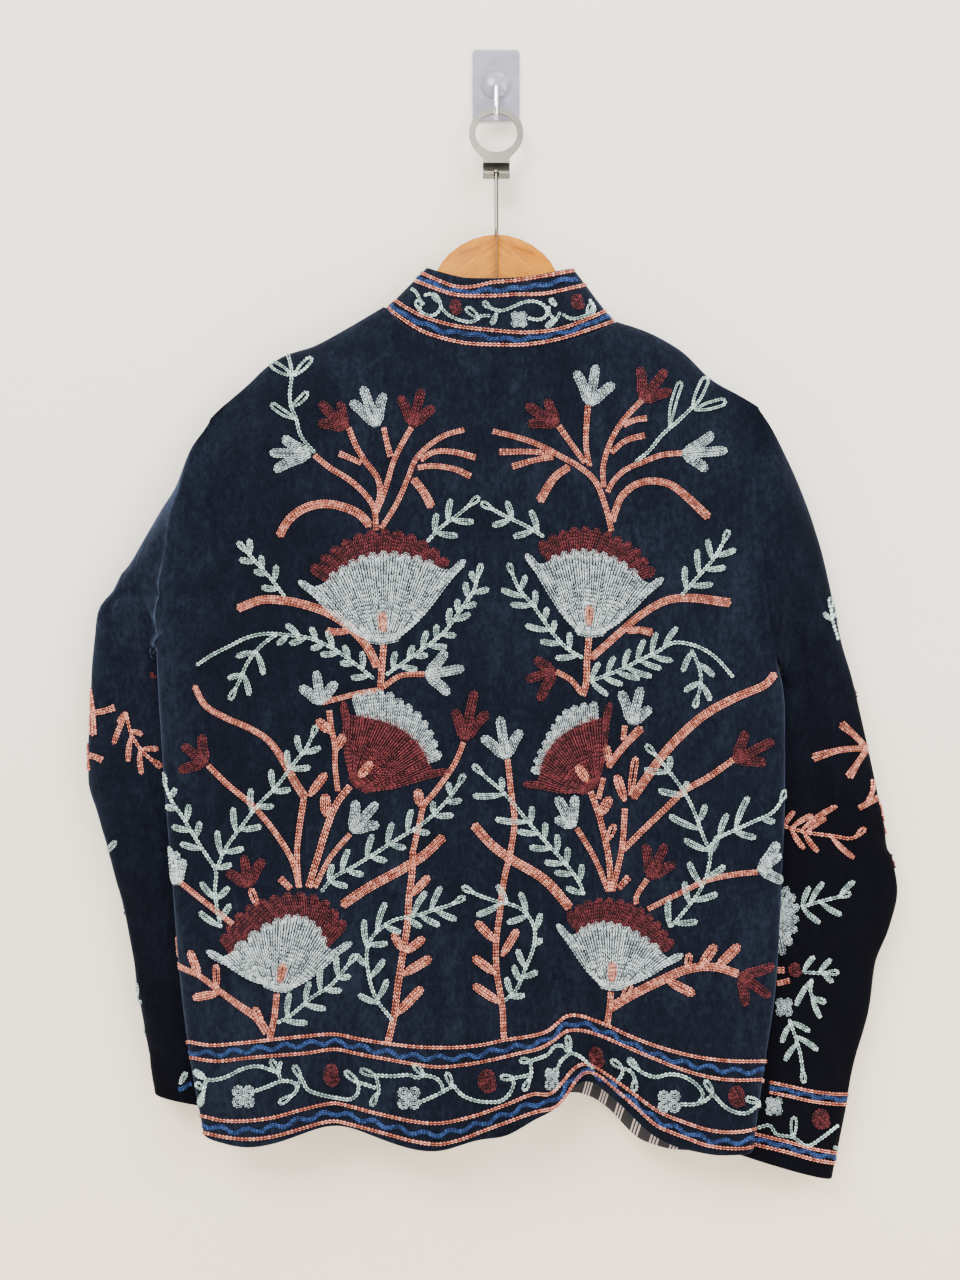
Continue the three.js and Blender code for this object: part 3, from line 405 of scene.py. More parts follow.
def shell(name, grid, normals, thick, material, loop=False):
    """Closed thin cloth: the grid's outer face, an inner face and rounded edges."""
    rows, cols = grid.shape[:2]
    inner = grid - normals * thick
    blocks, faces = [grid.reshape(-1, 3), inner.reshape(-1, 3)], []
    half = rows * cols
    ids = np.arange(half).reshape(rows, cols)
    if loop:
        ids = np.concatenate([ids, ids[:, :1]], 1)
    a, b, c, d = ids[:-1, :-1], ids[:-1, 1:], ids[1:, 1:], ids[1:, :-1]
    faces.append(np.stack([a, b, c, d], -1).reshape(-1, 4))
    faces.append(np.stack([a, d, c, b], -1).reshape(-1, 4) + half)
    start = 2 * half

    def rim(line, beside):
        nonlocal start
        flat_grid, flat_inner = grid.reshape(-1, 3), inner.reshape(-1, 3)
        out = unit(flat_grid[line] - flat_grid[beside])
        rings = [line]
        for s in (0.2, 0.5, 0.8):
            bulge = math.sin(math.pi * s) * thick * 0.45
            blocks.append(mix(flat_grid[line], flat_inner[line], s) + out * bulge)
            rings.append(np.arange(start, start + len(line)))
            start += len(line)
        rings.append(line + half)
        for p, q in zip(rings[:-1], rings[1:]):
            p, q = np.append(p, p[0]), np.append(q, q[0])
            faces.append(np.stack([p[:-1], q[:-1], q[1:], p[1:]], -1))

    flat = np.arange(half).reshape(rows, cols)
    if loop:
        rim(flat[0], flat[1])
        rim(flat[-1][::-1], flat[-2][::-1])
    else:
        inside = np.arange(half).reshape(rows, cols)[1:-1, 1:-1]
        inside = np.pad(inside, 1, mode="edge")
        ring = [(0, j) for j in range(cols - 1)] + [(i, cols - 1) for i in range(rows - 1)]
        ring += [(rows - 1, j) for j in range(cols - 1, 0, -1)] + [(i, 0) for i in range(rows - 1, 0, -1)]
        ring = np.array(ring)
        rim(flat[ring[:, 0], ring[:, 1]], inside[ring[:, 0], ring[:, 1]])
    points = np.concatenate(blocks)
    faces = np.concatenate(faces)
    flipped = signed_volume(points, faces) < 0
    ob = mesh_object(name, points, faces[:, ::-1] if flipped else faces, material)
    return ob


def signed_volume(points, faces):
    a, b, c, d = (points[faces[:, i]] for i in range(4))
    return np.sum(a * np.cross(b, c)) + np.sum(a * np.cross(c, d))


def half_area(ob):
    """Half of a closed thin shell's surface, in square metres."""
    n = len(ob.data.polygons)
    area = np.empty(n)
    ob.data.polygons.foreach_get("area", area)
    return float(area.sum()) / 2


# ---------------------------------------------------------------- cloth surfaces
class Surface:
    """A grid of outer points with normals and a flat picture (u, v) of it for placing stitches."""

    def __init__(self, grid, normals, u, v, far):
        self.grid, self.normals = grid, normals
        self.uv = np.stack([u, v], -1)
        self.rows, self.cols = grid.shape[:2]
        self.low = self.uv.reshape(-1, 2).min(0)
        self.bin = 2.0
        size = np.ceil((self.uv.reshape(-1, 2).max(0) - self.low) / self.bin).astype(int) + 2
        seeds, places, depths = [], [], []
        for fr in (0.1, 0.37, 0.63, 0.9):
            for fc in (0.1, 0.37, 0.63, 0.9):
                q = self.blend(self.uv, *self.cells(fr, fc))
                depths.append(self.blend(far[..., None], *self.cells(fr, fc))[:, 0])
                places.append(((q - self.low) / self.bin).astype(int))
                r, c = self.cells(fr, fc)
                seeds.append(np.stack([r, c], -1))
        places, seeds, depths = map(np.concatenate, (places, seeds, depths))
        order = np.argsort(-depths)  # the nearest is written last
        self.map = np.full((*size, 2), np.nan)
        self.map[places[order, 0], places[order, 1]] = seeds[order]
        for _ in range(14):  # places just outside get the nearest cell
            empty = np.isnan(self.map[..., 0])
            if not empty.any():
                break
            for axis, shift in ((0, 1), (0, -1), (1, 1), (1, -1)):
                other = np.roll(self.map, shift, axis)
                take = np.isnan(self.map[..., 0]) & ~np.isnan(other[..., 0])
                self.map[take] = other[take]

    def cells(self, fr, fc):
        r, c = np.meshgrid(np.arange(self.rows - 1) + fr, np.arange(self.cols - 1) + fc, indexing="ij")
        return r.ravel(), c.ravel()

    def blend(self, values, r, c):
        i = np.clip(r.astype(int), 0, self.rows - 2)
        j = np.clip(c.astype(int), 0, self.cols - 2)
        a, b = (r - i)[:, None], (c - j)[:, None]
        return ((1 - a) * (1 - b) * values[i, j] + (1 - a) * b * values[i, j + 1]
                + a * (1 - b) * values[i + 1, j] + a * b * values[i + 1, j + 1])

    def locate(self, q):
        """Row and column of each (u, v)."""
        place = ((q - self.low) / self.bin).astype(int)
        place = np.clip(place, 0, np.array(self.map.shape[:2]) - 1)
        start = self.map[place[:, 0], place[:, 1]]
        lost = np.isnan(start[:, 0])
        r, c = np.where(lost, 0, start[:, 0]), np.where(lost, 0, start[:, 1])
        for _ in range(7):
            i = np.clip(r.astype(int), 0, self.rows - 2)
            j = np.clip(c.astype(int), 0, self.cols - 2)
            a, b = (r - i)[:, None], (c - j)[:, None]
            p00, p01, p10, p11 = (self.uv[i, j], self.uv[i, j + 1], self.uv[i + 1, j], self.uv[i + 1, j + 1])
            miss = q - ((1 - a) * (1 - b) * p00 + (1 - a) * b * p01 + a * (1 - b) * p10 + a * b * p11)
            dr = (1 - b) * (p10 - p00) + b * (p11 - p01)
            dc = (1 - a) * (p01 - p00) + a * (p11 - p10)
            det = dr[:, 0] * dc[:, 1] - dr[:, 1] * dc[:, 0]
            det = np.where(np.abs(det) < 1e-6, 1e-6, det)
            step_r = np.clip((miss[:, 0] * dc[:, 1] - miss[:, 1] * dc[:, 0]) / det, -2, 2)
            step_c = np.clip((dr[:, 0] * miss[:, 1] - dr[:, 1] * miss[:, 0]) / det, -2, 2)
            r = np.clip(r + step_r, 0.02, self.rows - 1.02)
            c = np.clip(c + step_c, 0.02, self.cols - 1.02)
        return r, c, lost

    def place(self, q):
        r, c, lost = self.locate(q)
        off = np.linalg.norm(self.blend(self.uv, r, c) - q, axis=1)
        return self.blend(self.grid, r, c), unit(self.blend(self.normals, r, c)), lost | (off > 3.5)


def spread(lo, hi, step, fine, reach):
    """Places from lo to hi about a step apart, closer together within reach of each end."""
    n = max(2, int(round(reach / fine)))
    ends = np.linspace(0, reach, n + 1)
    inside = np.linspace(reach, hi - lo - reach, max(2, int((hi - lo - 2 * reach) / step)) + 1)
    return lo + np.concatenate([ends[:-1], inside, (hi - lo) - ends[::-1][1:]])


FINE = 4.0

# back
across = spread(0, 1, FINE / 520, 1.3 / 520, 14 / 520)
down = spread(0, 1, FINE / 690, 1.5 / 690, 9 / 690)
back_grid = body_point("back", across[None, :], down[:, None])
back_normals = grid_normals(back_grid, False, np.array([0, -1.0, 0]))
surfaces = {"back": Surface(back_grid, back_normals, *to_picture(back_grid), back_grid[..., 1])}

# fronts: their picture is plain (x, z), in the same units as the back's
def to_plan(g):
    return 480 + (g[..., 0] + 13.9) / 0.82, 640 - (g[..., 2] + 482.4) / 0.82


front_grids = {}
for side in ("left", "right"):
    across = spread(0, 1, 5.0 / 255, 1.5 / 255, 14 / 255)
    down = spread(0, 1, 5.0 / 690, 1.5 / 690, 9 / 690)
    g = body_point(side, across[None, :], down[:, None])
    n = grid_normals(g, False, np.array([0, 1.0, 0]))
    front_grids[side] = (g, n)
    surfaces["front_" + side] = Surface(g, n, *to_plan(g), -g[..., 1])


# ---------------------------------------------------------------- sleeves
def sleeve_grid(side):
    left = side == "left"
    out = -SEAM - 0.15 if left else SEAM + 0.15
    t = SLEEVE_LEFT if left else SLEEVE_RIGHT
    across = 0.0 if left else 1.0
    last = ROWS[ARMHOLE_ROWS[side]]
    steps = 38
    end = math.acos(1 - 2 * 0.97)
    turn = np.concatenate([np.linspace(0, end, steps), [(end + math.pi) / 2, math.pi]])
    down = last * np.clip((1 - np.cos(turn[:steps])) / (2 * 0.97), 0, 1)
    room = body_point("back", np.full(steps, across), down)
    wall = body_point(side, np.full(steps, across), down)
    tip = (room[0] + wall[0]) / 2
    low = (room[-1] + wall[-1]) / 2
    if left:
        low = low - np.array([0, 0, 2.5])
    ring = np.concatenate([[tip], room[1:], [(room[-1] + low) / 2], [low], [(wall[-1] + low) / 2], wall[1:][::-1]])
    ring[:, 0] += out
    angle = np.concatenate([turn, -turn[1:-1][::-1]])
    c, s = np.cos(angle), np.sin(angle)
    c = np.sign(c) * np.abs(c) ** 0.9
    s = np.sign(s) * np.abs(s) ** 0.8
    share = (1 - c) / 2
    rings = [ring]
    for k in range(len(t["ox"])):
        y = mix(t["oy"][k], t["iy"][k], share) - np.where(s > 0, s * t["room"][k], s * t["wall"][k])
        rings.append(np.stack([mix(t["ox"][k], t["ix"][k], share), y, mix(t["oz"][k], t["iz"][k], share)], -1))
    rings = np.array(rings)
    length = np.concatenate([[0], np.cumsum(np.linalg.norm(np.diff(rings, axis=0), axis=2).mean(1))])
    places = np.concatenate([spread(0, length[-1], 5.0, 1.6, 9.0)])
    grid = along(length, rings, places)
    centre = grid.mean(1, keepdims=True)
    n = grid_normals(grid, True, grid - centre)
    px, py = to_picture(grid)
    bump = sleeve_creases(side, px, py, np.sin(angle)[None, :] > 0)
    fade = smooth(places / 26)[:, None] * smooth((length[-1] - places) / 14)[:, None]
    grid = grid - n * (bump * fade)[..., None]
    return grid, grid_normals(grid, True, grid - grid.mean(1, keepdims=True)), steps


def sleeve_creases(side, px, py, room):
    """Depth of the creases on a sleeve: those of the room side, and quieter ones behind."""
    seen = crease_depth(CREASES_SLEEVE[side], px, py)
    behind = crease_depth([([(x + 4, y + 9) for x, y in p], d * 0.7, h * 1.2)
                           for p, d, h in CREASES_SLEEVE[side]], px, py)
    return np.where(room, seen, behind)


# in picture units: lines, depth in mm (troughs positive) and half width
CREASES_SLEEVE = {
    "left": [
        ([(104, 592), (133, 589), (166, 597)], 4.5, 5),
        ([(100, 604), (112, 618), (126, 634)], 2.5, 5),
        ([(110, 579), (140, 578), (168, 580)], -2.5, 7),
        ([(134, 602), (146, 616), (156, 640), (160, 660)], 3.5, 5),
        ([(106, 612), (134, 610), (150, 618)], -2.5, 6),
        ([(196, 470), (184, 520), (160, 566)], 2.4, 9),
        ([(180, 490), (164, 534), (140, 568)], -2.2, 10),
        ([(190, 560), (176, 590), (160, 612)], 2.6, 7),
        ([(92, 690), (116, 700), (148, 690)], 1.8, 8),
        ([(92, 780), (118, 800), (156, 780)], -2.0, 10),
        ([(104, 830), (130, 850), (160, 836)], 2.2, 8),
        ([(116, 880), (140, 930), (168, 980)], 1.8, 9),
        ([(130, 960), (150, 1010), (176, 1050)], -1.6, 9),
        ([(128, 640), (122, 700), (128, 770)], 2.2, 10),
        ([(200, 420), (190, 470), (184, 520)], -1.6, 9),
        ([(140, 1040), (160, 1060), (184, 1066)], 1.4, 8),
    ],
    "right": [
        ([(795, 766), (826, 809), (858, 859), (880, 902)], 3.4, 8),
        ([(780, 790), (812, 836), (846, 884)], -2.6, 10),
        ([(872, 820), (886, 839), (894, 856)], 3.0, 5),
        ([(818, 742), (850, 790), (876, 824)], -2.0, 9),
        ([(776, 600), (800, 660), (812, 720)], 2.4, 10),
        ([(790, 560), (816, 620), (832, 680)], -2.0, 12),
        ([(768, 500), (784, 560), (790, 610)], 1.8, 10),
        ([(784, 880), (826, 900), (870, 892)], 2.2, 9),
        ([(786, 930), (830, 936), (872, 920)], -1.8, 10),
        ([(800, 980), (830, 1020), (850, 1060)], 1.8, 10),
        ([(790, 1040), (806, 1090), (812, 1130)], -1.4, 9),
        ([(838, 990), (848, 1050), (842, 1110)], 1.6, 8),
        ([(770, 460), (790, 500), (806, 540)], -1.4, 12),
    ],
}

sleeve_grids = {}
for side in ("left", "right"):
    g, n, steps = sleeve_grid(side)
    sleeve_grids[side] = (g, n)
    half = g.shape[1] // 2 + 1
    room, room_n = g[:, :half], n[:, :half]
    wall = np.concatenate([g[:, half - 1:], g[:, :1]], 1)
    wall_n = np.concatenate([n[:, half - 1:], n[:, :1]], 1)
    surfaces["sleeve_" + side] = Surface(room, room_n, *to_picture(room), room[..., 1])
    surfaces["sleeve_" + side + "_wall"] = Surface(wall, wall_n, *to_plan(wall), -wall[..., 1])


# ---------------------------------------------------------------- collar
def neck_edge(side, xs, lo, hi):
    """Seam points of a panel at the neck, moved off the panel across the seam."""
    shares = (xs - lo) / (hi - lo)
    edge = body_point(side, shares, np.zeros(len(xs)))
    below = body_point(side, shares, np.full(len(xs), ROWS[1]))
    run = unit(np.gradient(edge, axis=0))
    away = edge - below
    away = unit(away - np.sum(away * run, 1, keepdims=True) * run)
    return edge + away * (SEAM + 0.3)


def collar_grid():
    left_x = -94 + 92.5 * np.concatenate([[0, 0.01, 0.021, 0.037, 0.055, 0.085], np.linspace(0.12, 1, 28)])
    right_x = 101 - 99.5 * np.concatenate([[0, 0.01, 0.021, 0.037, 0.055, 0.085], np.linspace(0.12, 1, 28)])
    back_x = mix(-94, 101, np.concatenate([[0, 0.012, 0.03, 0.05, 0.08, 0.12], np.linspace(0.16, 0.84, 42),
                                           [0.88, 0.92, 0.95, 0.97, 0.988, 1]]))
    left = neck_edge("left", left_x, TIP_LEFT[0], -OPENING)
    right = neck_edge("right", right_x, OPENING, TIP_RIGHT[0])
    back = neck_edge("back", back_x, TIP_LEFT[0], TIP_RIGHT[0])
    back[0] = (back[0] + left[0]) / 2
    back[-1] = (back[-1] + right[0]) / 2
    base = np.concatenate([left[::-1][:-1], back, right[1:]])
    keys = np.concatenate([left_x[::-1][:-1], back_x, right_x[1:]])
    front = np.concatenate([np.ones(len(left_x) - 1), np.zeros(len(back_x)), np.ones(len(right_x) - 1)]) > 0
    top = np.stack([np.where(front, along(COLLAR_FRONT["at"], COLLAR_FRONT[c], keys),
                             along(COLLAR_BACK["at"], COLLAR_BACK[c], keys)) for c in "xyz"], -1)
    top[:, 0] = np.where(front & (np.abs(keys) < 5), keys * 1.3, top[:, 0])
    # round the joins of the three necklines
    for _ in range(3):
        base[1:-1] = (base[:-2] + 2 * base[1:-1] + base[2:]) / 4
        top[1:-1] = (top[:-2] + 2 * top[1:-1] + top[2:]) / 4
    weight = np.clip((np.abs(base[:, 1] + 42) - 6) / 10, 0, 1)
    rows = []
    for up in np.linspace(1, 0, 19):
        q = mix(base, top, up)
        bow = 2.2 * math.sin(math.pi * up)
        q[:, 1] += np.where(front, bow * 0.4, -bow) * weight
        rows.append(q)
    return np.array(rows), keys


collar, collar_keys = collar_grid()
collar_centre = np.array([0, -42.0, -215.0])
collar_out = (collar - collar_centre) * np.array([1, 1, 0.0])
collar_normals = grid_normals(collar, False, collar_out)
seen = np.flatnonzero(collar[9, :, 1] < -40)
s0, s1 = seen[0], seen[-1] + 1
surfaces["collar"] = Surface(collar[:, s0:s1], collar_normals[:, s0:s1], *to_picture(collar[:, s0:s1]),
                             collar[:, s0:s1, 1])
cut = int(np.argmin(np.abs(np.arange(len(collar_keys)) - len(collar_keys) / 2)))
for name, part in (("collar_left", slice(0, s0 + 2)), ("collar_right", slice(s1 - 2, None))):
    g, n = collar[:, part], collar_normals[:, part]
    surfaces[name] = Surface(g, n, *to_plan(g), -g[..., 1])

# facing: on the inside of the right front's hem
fg, fn = front_grids["right"]
lo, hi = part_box("hem_facing")
cols = np.flatnonzero((fg[-1, :, 0] > lo[0] * 1000) & (fg[-1, :, 0] < hi[0] * 1000))
rows_used = np.flatnonzero(fg[:, cols[len(cols) // 2], 2] < lo[2] * 1000 + 46)
fg = fg[rows_used[0]:, cols[0]:cols[-1] + 1]
fn = fn[rows_used[0]:, cols[0]:cols[-1] + 1]
facing_grid = fg - fn * (CLOTH + 0.35)

# ---------------------------------------------------------------- chain stitch
UNIT = 0.82  # mm of cloth to a picture unit
ROW = 3.3  # width of one row of chain, in picture units
PITCH = 2.95  # length of one link, mm
rows_of = {}  # panel -> list of (colour, uv points, width, lift)


def P(text):
    return np.array([[float(v) for v in pair.split(",")] for pair in text.split()])


def curve(points, step=1.4):
    """Smooth line through points, with a point about every step."""
    p = np.asarray(points, float)
    if len(p) == 2:
        n = max(2, int(np.linalg.norm(p[1] - p[0]) / step) + 1)
        return p[0] + (p[1] - p[0]) * np.linspace(0, 1, n)[:, None]
    ends = np.concatenate([[2 * p[0] - p[1]], p, [2 * p[-1] - p[-2]]])
    out = []
    for i in range(1, len(ends) - 2):
        a, b, c, d = ends[i - 1:i + 3]
        gap = np.linalg.norm(c - b)
        n = max(1, int(gap / step))
        ta, tb, tc = (max(np.linalg.norm(v), 1e-6) ** 0.5 for v in (b - a, c - b, d - c))
        m1 = (c - b) + tb * ((b - a) / ta - (c - a) / (ta + tb))
        m2 = (c - b) + tb * ((d - c) / tc - (d - b) / (tb + tc))
        t = (np.arange(n) / n)[:, None]
        out.append((2 * t**3 - 3 * t**2 + 1) * b + (t**3 - 2 * t**2 + t) * m1
                   + (3 * t**2 - 2 * t**3) * c + (t**3 - t**2) * m2)
    out.append(p[-1:])
    return np.concatenate(out)


def sides(line):
    d = np.gradient(line, axis=0)
    d = d / np.maximum(np.linalg.norm(d, axis=1, keepdims=True), 1e-9)
    return d, np.stack([-d[:, 1], d[:, 0]], 1)


def lengths(line):
    return np.concatenate([[0], np.cumsum(np.linalg.norm(np.diff(line, axis=0), axis=1))])


def row(panel, colour, line, width=ROW, lift=0.0):
    if len(line) > 1:
        rows_of.setdefault(panel, []).append((colour, np.asarray(line, float), width, lift))


def stem(panel, colour, points, wide=6.0, end=None, lift=0.0):
    """A stem of one to three rows side by side; `end` is its width at the far end."""
    line = curve(points)
    _, across = sides(line)
    s = lengths(line)
    width = mix(wide, wide if end is None else end, smooth((s / max(s[-1], 1e-6) - 0.45) / 0.5)) * 0.94
    widest = max(wide, end or wide)
    count = 1 if widest < 4.6 else (2 if widest < 8.2 else 3)
    for k in range(count):
        place = (k - (count - 1) / 2) / count
        shift = line + across * (place * width)[:, None]
        trim = 2.6 * abs(place) * 3 * 0.5
        keep = (s >= trim) & (s <= s[-1] - trim)
        row(panel, colour, shift[keep], float(width.mean() / count) * 1.04, lift)


def leaf(panel, colour, base, tip, wide=7.0, bend=0.0, lift=0.0, full=0.5, hollow=False, fine=ROW):
    """A club-shaped leaf: one row round its outline, and one up its middle if wide."""
    base, tip = np.asarray(base, float), np.asarray(tip, float)
    axis = tip - base
    size = np.linalg.norm(axis)
    if size < 2:
        return
    axis = axis / size
    side = np.array([-axis[1], axis[0]])
    reach = max((wide - fine) / 2, 0.9)
    t = np.linspace(0, 1, 15)
    round_off = 1 - min(0.45, reach * 1.3 / size)
    shape = np.minimum(smooth(t / full) ** 0.6,
                       np.sqrt(np.clip(1 - (np.maximum(t - round_off, 0) / (1 - round_off)) ** 2, 0, 1)))
    along_axis = t * (size - fine / 2)
    bow = bend * size * np.sin(math.pi * t)[:, None] * side
    up = base + along_axis[:, None] * axis + (shape * reach)[:, None] * side + bow
    back = base + along_axis[:, None] * axis - (shape * reach)[:, None] * side + bow
    row(panel, colour, np.concatenate([up, back[::-1][1:]]), fine * 0.98, lift)
    if wide > 8.4 and not hollow:
        mid = base + (t[1:14] * (size - fine * 0.8))[:, None] * axis + bow[1:14]
        row(panel, colour, mid, min(fine * 1.15, wide - 2 * fine + 1.2), lift + 0.05)


def tulip(panel, colour, base, tips, wide=10.4, lift=0.15):
    """Blunt finger petals that grow together at their base."""
    base = np.asarray(base, float)
    tips = [np.asarray(t, float) for t in tips]
    aim = sum(tips) / len(tips) - base
    way = unit(aim)
    side = np.array([-way[1], way[0]])
    for n, tip in enumerate(tips):
        out = np.sign((tip - base) @ side) * (n != 1)
        foot = base + side * out * 2.6 + way * (0.5 if n == 1 else 1.5)
        leaf(panel, colour, foot, tip, wide - (0.6 if n == 1 else 0), lift=lift + 0.12 * (n == 1), full=0.22,
             bend=-0.05 * out)
    for out in (-1, 0, 1):
        row(panel, colour, curve([base + side * out * 1.6 - way, base + side * out * 4.2 + way * 6,
                                  base + side * out * 5.2 + way * 12]), ROW * 1.05, lift + 0.05)


def sprig(panel, colour, points, gap=18.5, long=20.0, wide=6.6, turn=40.0, start=0.10, end=True,
          left=True, right=True, shift=0.42, stalk=4.0, hollow=True, bend=0.04):
    """A stem of one row with pairs of leaflets, each an open loop."""
    line = curve(points)
    row(panel, colour, line, stalk)
    d, across = sides(line)
    s = lengths(line)
    total = s[-1]
    place = total * start
    n = 0
    while place < total - 7:
        for sign, on in ((1, right), (-1, left)):
            at = place + (gap * shift if sign > 0 else 0)
            if not on or at > total - 5:
                continue
            i = min(int(np.searchsorted(s, at)), len(line) - 1)
            a = math.radians(turn + 8 * math.sin(n * 2.1 + sign))
            way = d[i] * math.cos(a) + across[i] * sign * math.sin(a)
            size = long * (0.95 + 0.12 * math.sin(n * 1.7 + sign * 0.8)) * (1 - 0.12 * (at / total) ** 3)
            leaf(panel, colour, line[i] + way * 0.3, line[i] + way * size, wide, bend=bend * sign, hollow=hollow,
                 fine=3.0, full=0.5)
            n += 1
        place += gap
    if end:
        leaf(panel, colour, line[-1] - d[-1] * 2, line[-1] + d[-1] * long * 0.75, wide + 0.4, hollow=hollow,
             fine=2.9, full=0.6)


def arc_between(a, m, b, f):
    """Point of a smooth arc through a, m and b, at share f."""
    f = np.asarray(f, float)[..., None]
    h = m - (a + b) / 2
    return mix(a, b, f) + 4 * h * f * (1 - f)


def fan(panel, body, rim, base, corners, top, rim_line, seed, lobes=10, rim_lobes=12, spread_at=0.17, foot=0.17,
        seed_tip=None):
    """A fan-shaped flower: a solid body of radiating rows with scalloped ends and a horn at
    each side, a scalloped rim behind it and a small seed."""
    base, top = np.asarray(base, float), np.asarray(top, float)
    a, b = (np.asarray(c, float) for c in corners)
    up = top - base
    height = np.linalg.norm(up)
    up = up / height
    side = np.array([-up[1], up[0]])
    if (b - a) @ side < 0:
        side = -side
    half_width = np.linalg.norm(b - a) / 2
    s0, s1 = mix(a, b, spread_at) - up * height * 0.01, mix(a, b, 1 - spread_at) - up * height * 0.01

    def inner(g):
        return arc_between(s0, top, s1, g)

    # the rim lies under the body: each lobe is a turn of chain with two rows in it
    outer = curve(rim_line, 1.0)
    so = lengths(outer)

    def rim_point(g):
        return outer[int(np.clip(np.searchsorted(so, g * so[-1]), 0, len(outer) - 1))]

    for k in range(rim_lobes):
        f = (k + 0.5) / rim_lobes
        half = 0.5 / rim_lobes
        out = unit(rim_point(f) - mix(base, inner(np.clip(f, 0, 1)), 0.55))
        lines = []
        for g, cut in ((f - half * 0.70, 6.2), (f - half * 0.24, 3.6), (f + half * 0.24, 3.6), (f + half * 0.70, 6.2)):
            start = inner(mix(-0.03, 1.03, g))
            start = start + (base - start) * 0.045
            lines.append((start, rim_point(g) - out * cut))
        cap = rim_point(f) - out * 1.4
        l0, l3 = lines[0], lines[3]
        row(panel, rim, curve([l0[0], mix(*l0, 0.55), l0[1], cap, l3[1], mix(*l3, 0.55), l3[0]], 1.2), ROW, 0.05)
        for n in (1, 2):
            row(panel, rim, curve(lines[n]), ROW * 1.02, 0.12)

    foot_half = half_width * foot
    g = np.linspace(0, 1, 260)
    arc = inner(g)
    phase = (g * lobes) % 1 - 0.5
    toward = arc - base
    toward = toward / np.linalg.norm(toward, axis=1, keepdims=True)
    arc = arc - toward * (4.6 * (2 * phase[:, None]) ** 2)
    u = np.linspace(0, 1, 60)[:, None]
    dip = 4 * u * (1 - u) * up * 6.0
    edge = np.concatenate([mix(a, s0, u) - dip, arc[3:-3], mix(s1, b, u) - dip])
    # the rows end a row's breadth apart, so they fill the body from horn to horn
    away = edge - (base - up * 4)
    reach = np.linalg.norm(away, axis=1, keepdims=True)
    away = away / reach
    steps = np.abs(np.cross(away[:-1], np.diff(edge, axis=0)))
    far = np.concatenate([[0], np.cumsum(steps)])
    count = int(far[-1] / 3.15)
    order = 0.5
    for n in range(count + 1):
        i = min(int(np.searchsorted(far, far[-1] * n / count)), len(edge) - 1)
        f = 2 * n / count - 1
        end = edge[i] - away[i] * (1.6 if 0 < n < count else 0.0)
        start = base + side * f * foot_half + up * (1.5 + 4.5 * f * f)
        t = np.linspace(0, 1, 34)[:, None]
        out = np.array([away[i][1], -away[i][0]])
        out = out if out @ side * f > 0 else -out
        line = mix(start, end, t) + 6.75 * t * (1 - t) ** 2 * out * half_width * 0.05 * abs(f) ** 1.5
        order = (order + 0.618034) % 1
        room = mix(foot_half * 2 + 3, far[-1], t[:, 0]) / far[-1]
        keep = (room * 1.3 >= order) | (t[:, 0] > 0.78) | (n in (0, 1, count - 1, count))
        row(panel, body, line[int(np.argmax(keep)):], ROW * 1.2, 0.34 + 0.06 * (n % 2))
    for horn in (a, b):  # each horn ends blunt, a full row round it
        leaf(panel, body, mix(horn, base, 0.34), horn, 8.0, lift=0.5, full=0.4)
    for k in range(lobes):  # caps of the lobes
        g = (k + 0.5) / lobes
        tops = [inner(g + d) for d in (-0.33 / lobes, 0, 0.33 / lobes)]
        out = unit(tops[1] - base)
        row(panel, body, curve([tops[0] - out * 7.5, tops[0] - out * 2.4, tops[1] + out * 0.8,
                                tops[2] - out * 2.4, tops[2] - out * 7.5], 1.1), ROW, 0.48)
    # the base is closed by short level rows
    for n in range(3):
        w = foot_half + 1.5 + n * 2.2
        y = up * (0.8 + n * 2.9)
        row(panel, body, curve([base - side * w + y + up * 2.5, base + y, base + side * w + y + up * 2.5]), ROW, 0.30)
    seed = np.asarray(seed, float)
    aim = unit((top if seed_tip is None else np.asarray(seed_tip, float)) - base)
    leaf(panel, "salmon", seed - aim * 10, seed + aim * 10.5, 9.5, lift=1.9, full=0.3, fine=3.2)


def flower(panel, colour, centre, radius=12.5, petals=4, turn=45.0, squash=1.0, eye=None, lift=0.1):
    """Round petals, each a turn of chain with a filled middle."""
    centre = np.asarray(centre, float)
    for k in range(petals):
        a = math.radians(turn + 360 * k / petals)
        mid = centre + radius * 0.56 * np.array([math.cos(a) * squash, math.sin(a)])
        r = radius * (0.36 if petals <= 4 else 0.27)
        t = np.linspace(0, 2 * math.pi, 13) + a + math.pi
        row(panel, colour, mid + r * np.stack([np.cos(t) * squash, np.sin(t)], 1), ROW * 0.98, lift)
        row(panel, colour, np.array([mid - [r * 0.5 * squash, 0], mid + [r * 0.5 * squash, 0]]), ROW * 0.9, lift + 0.1)
    row(panel, eye or colour, np.array([centre - [2, 0], centre + [2, 0]]), ROW * 1.2, lift + 0.25)


def rosette(panel, colour, centre, wide, tall, lobes=7, lift=0.1, turn=0.3):
    """A roundish flower filled with a spiral of chain, its edge lightly lobed."""
    centre = np.asarray(centre, float)
    turns = max(1.0, (min(wide, tall) / 2 - ROW / 2) / (ROW * 0.92))
    t = np.linspace(0, 1, int(60 * turns))
    angle = turn + t * turns * 2 * math.pi
    r = 1 - t * 0.96
    r = r * (1 + 0.10 * np.cos(lobes * angle) * r)
    line = centre + np.stack([np.cos(angle) * r * (wide - ROW) / 2, np.sin(angle) * r * (tall - ROW) / 2], 1)
    row(panel, colour, line, ROW, lift)


def wave(panel, colour, points, height=2.4, period=24.0, wide=3.2, thick=2, phase=0.0, lift=0.0):
    line = curve(points)
    _, across = sides(line)
    s = lengths(line)
    swing = np.sin((s / period + phase) * 2 * math.pi)
    swing = np.sign(swing) * np.abs(swing) ** 0.85 * height
    for k in range(thick):
        row(panel, colour, line + across * (swing + (k - (thick - 1) / 2) * wide * 0.86)[:, None], wide, lift)


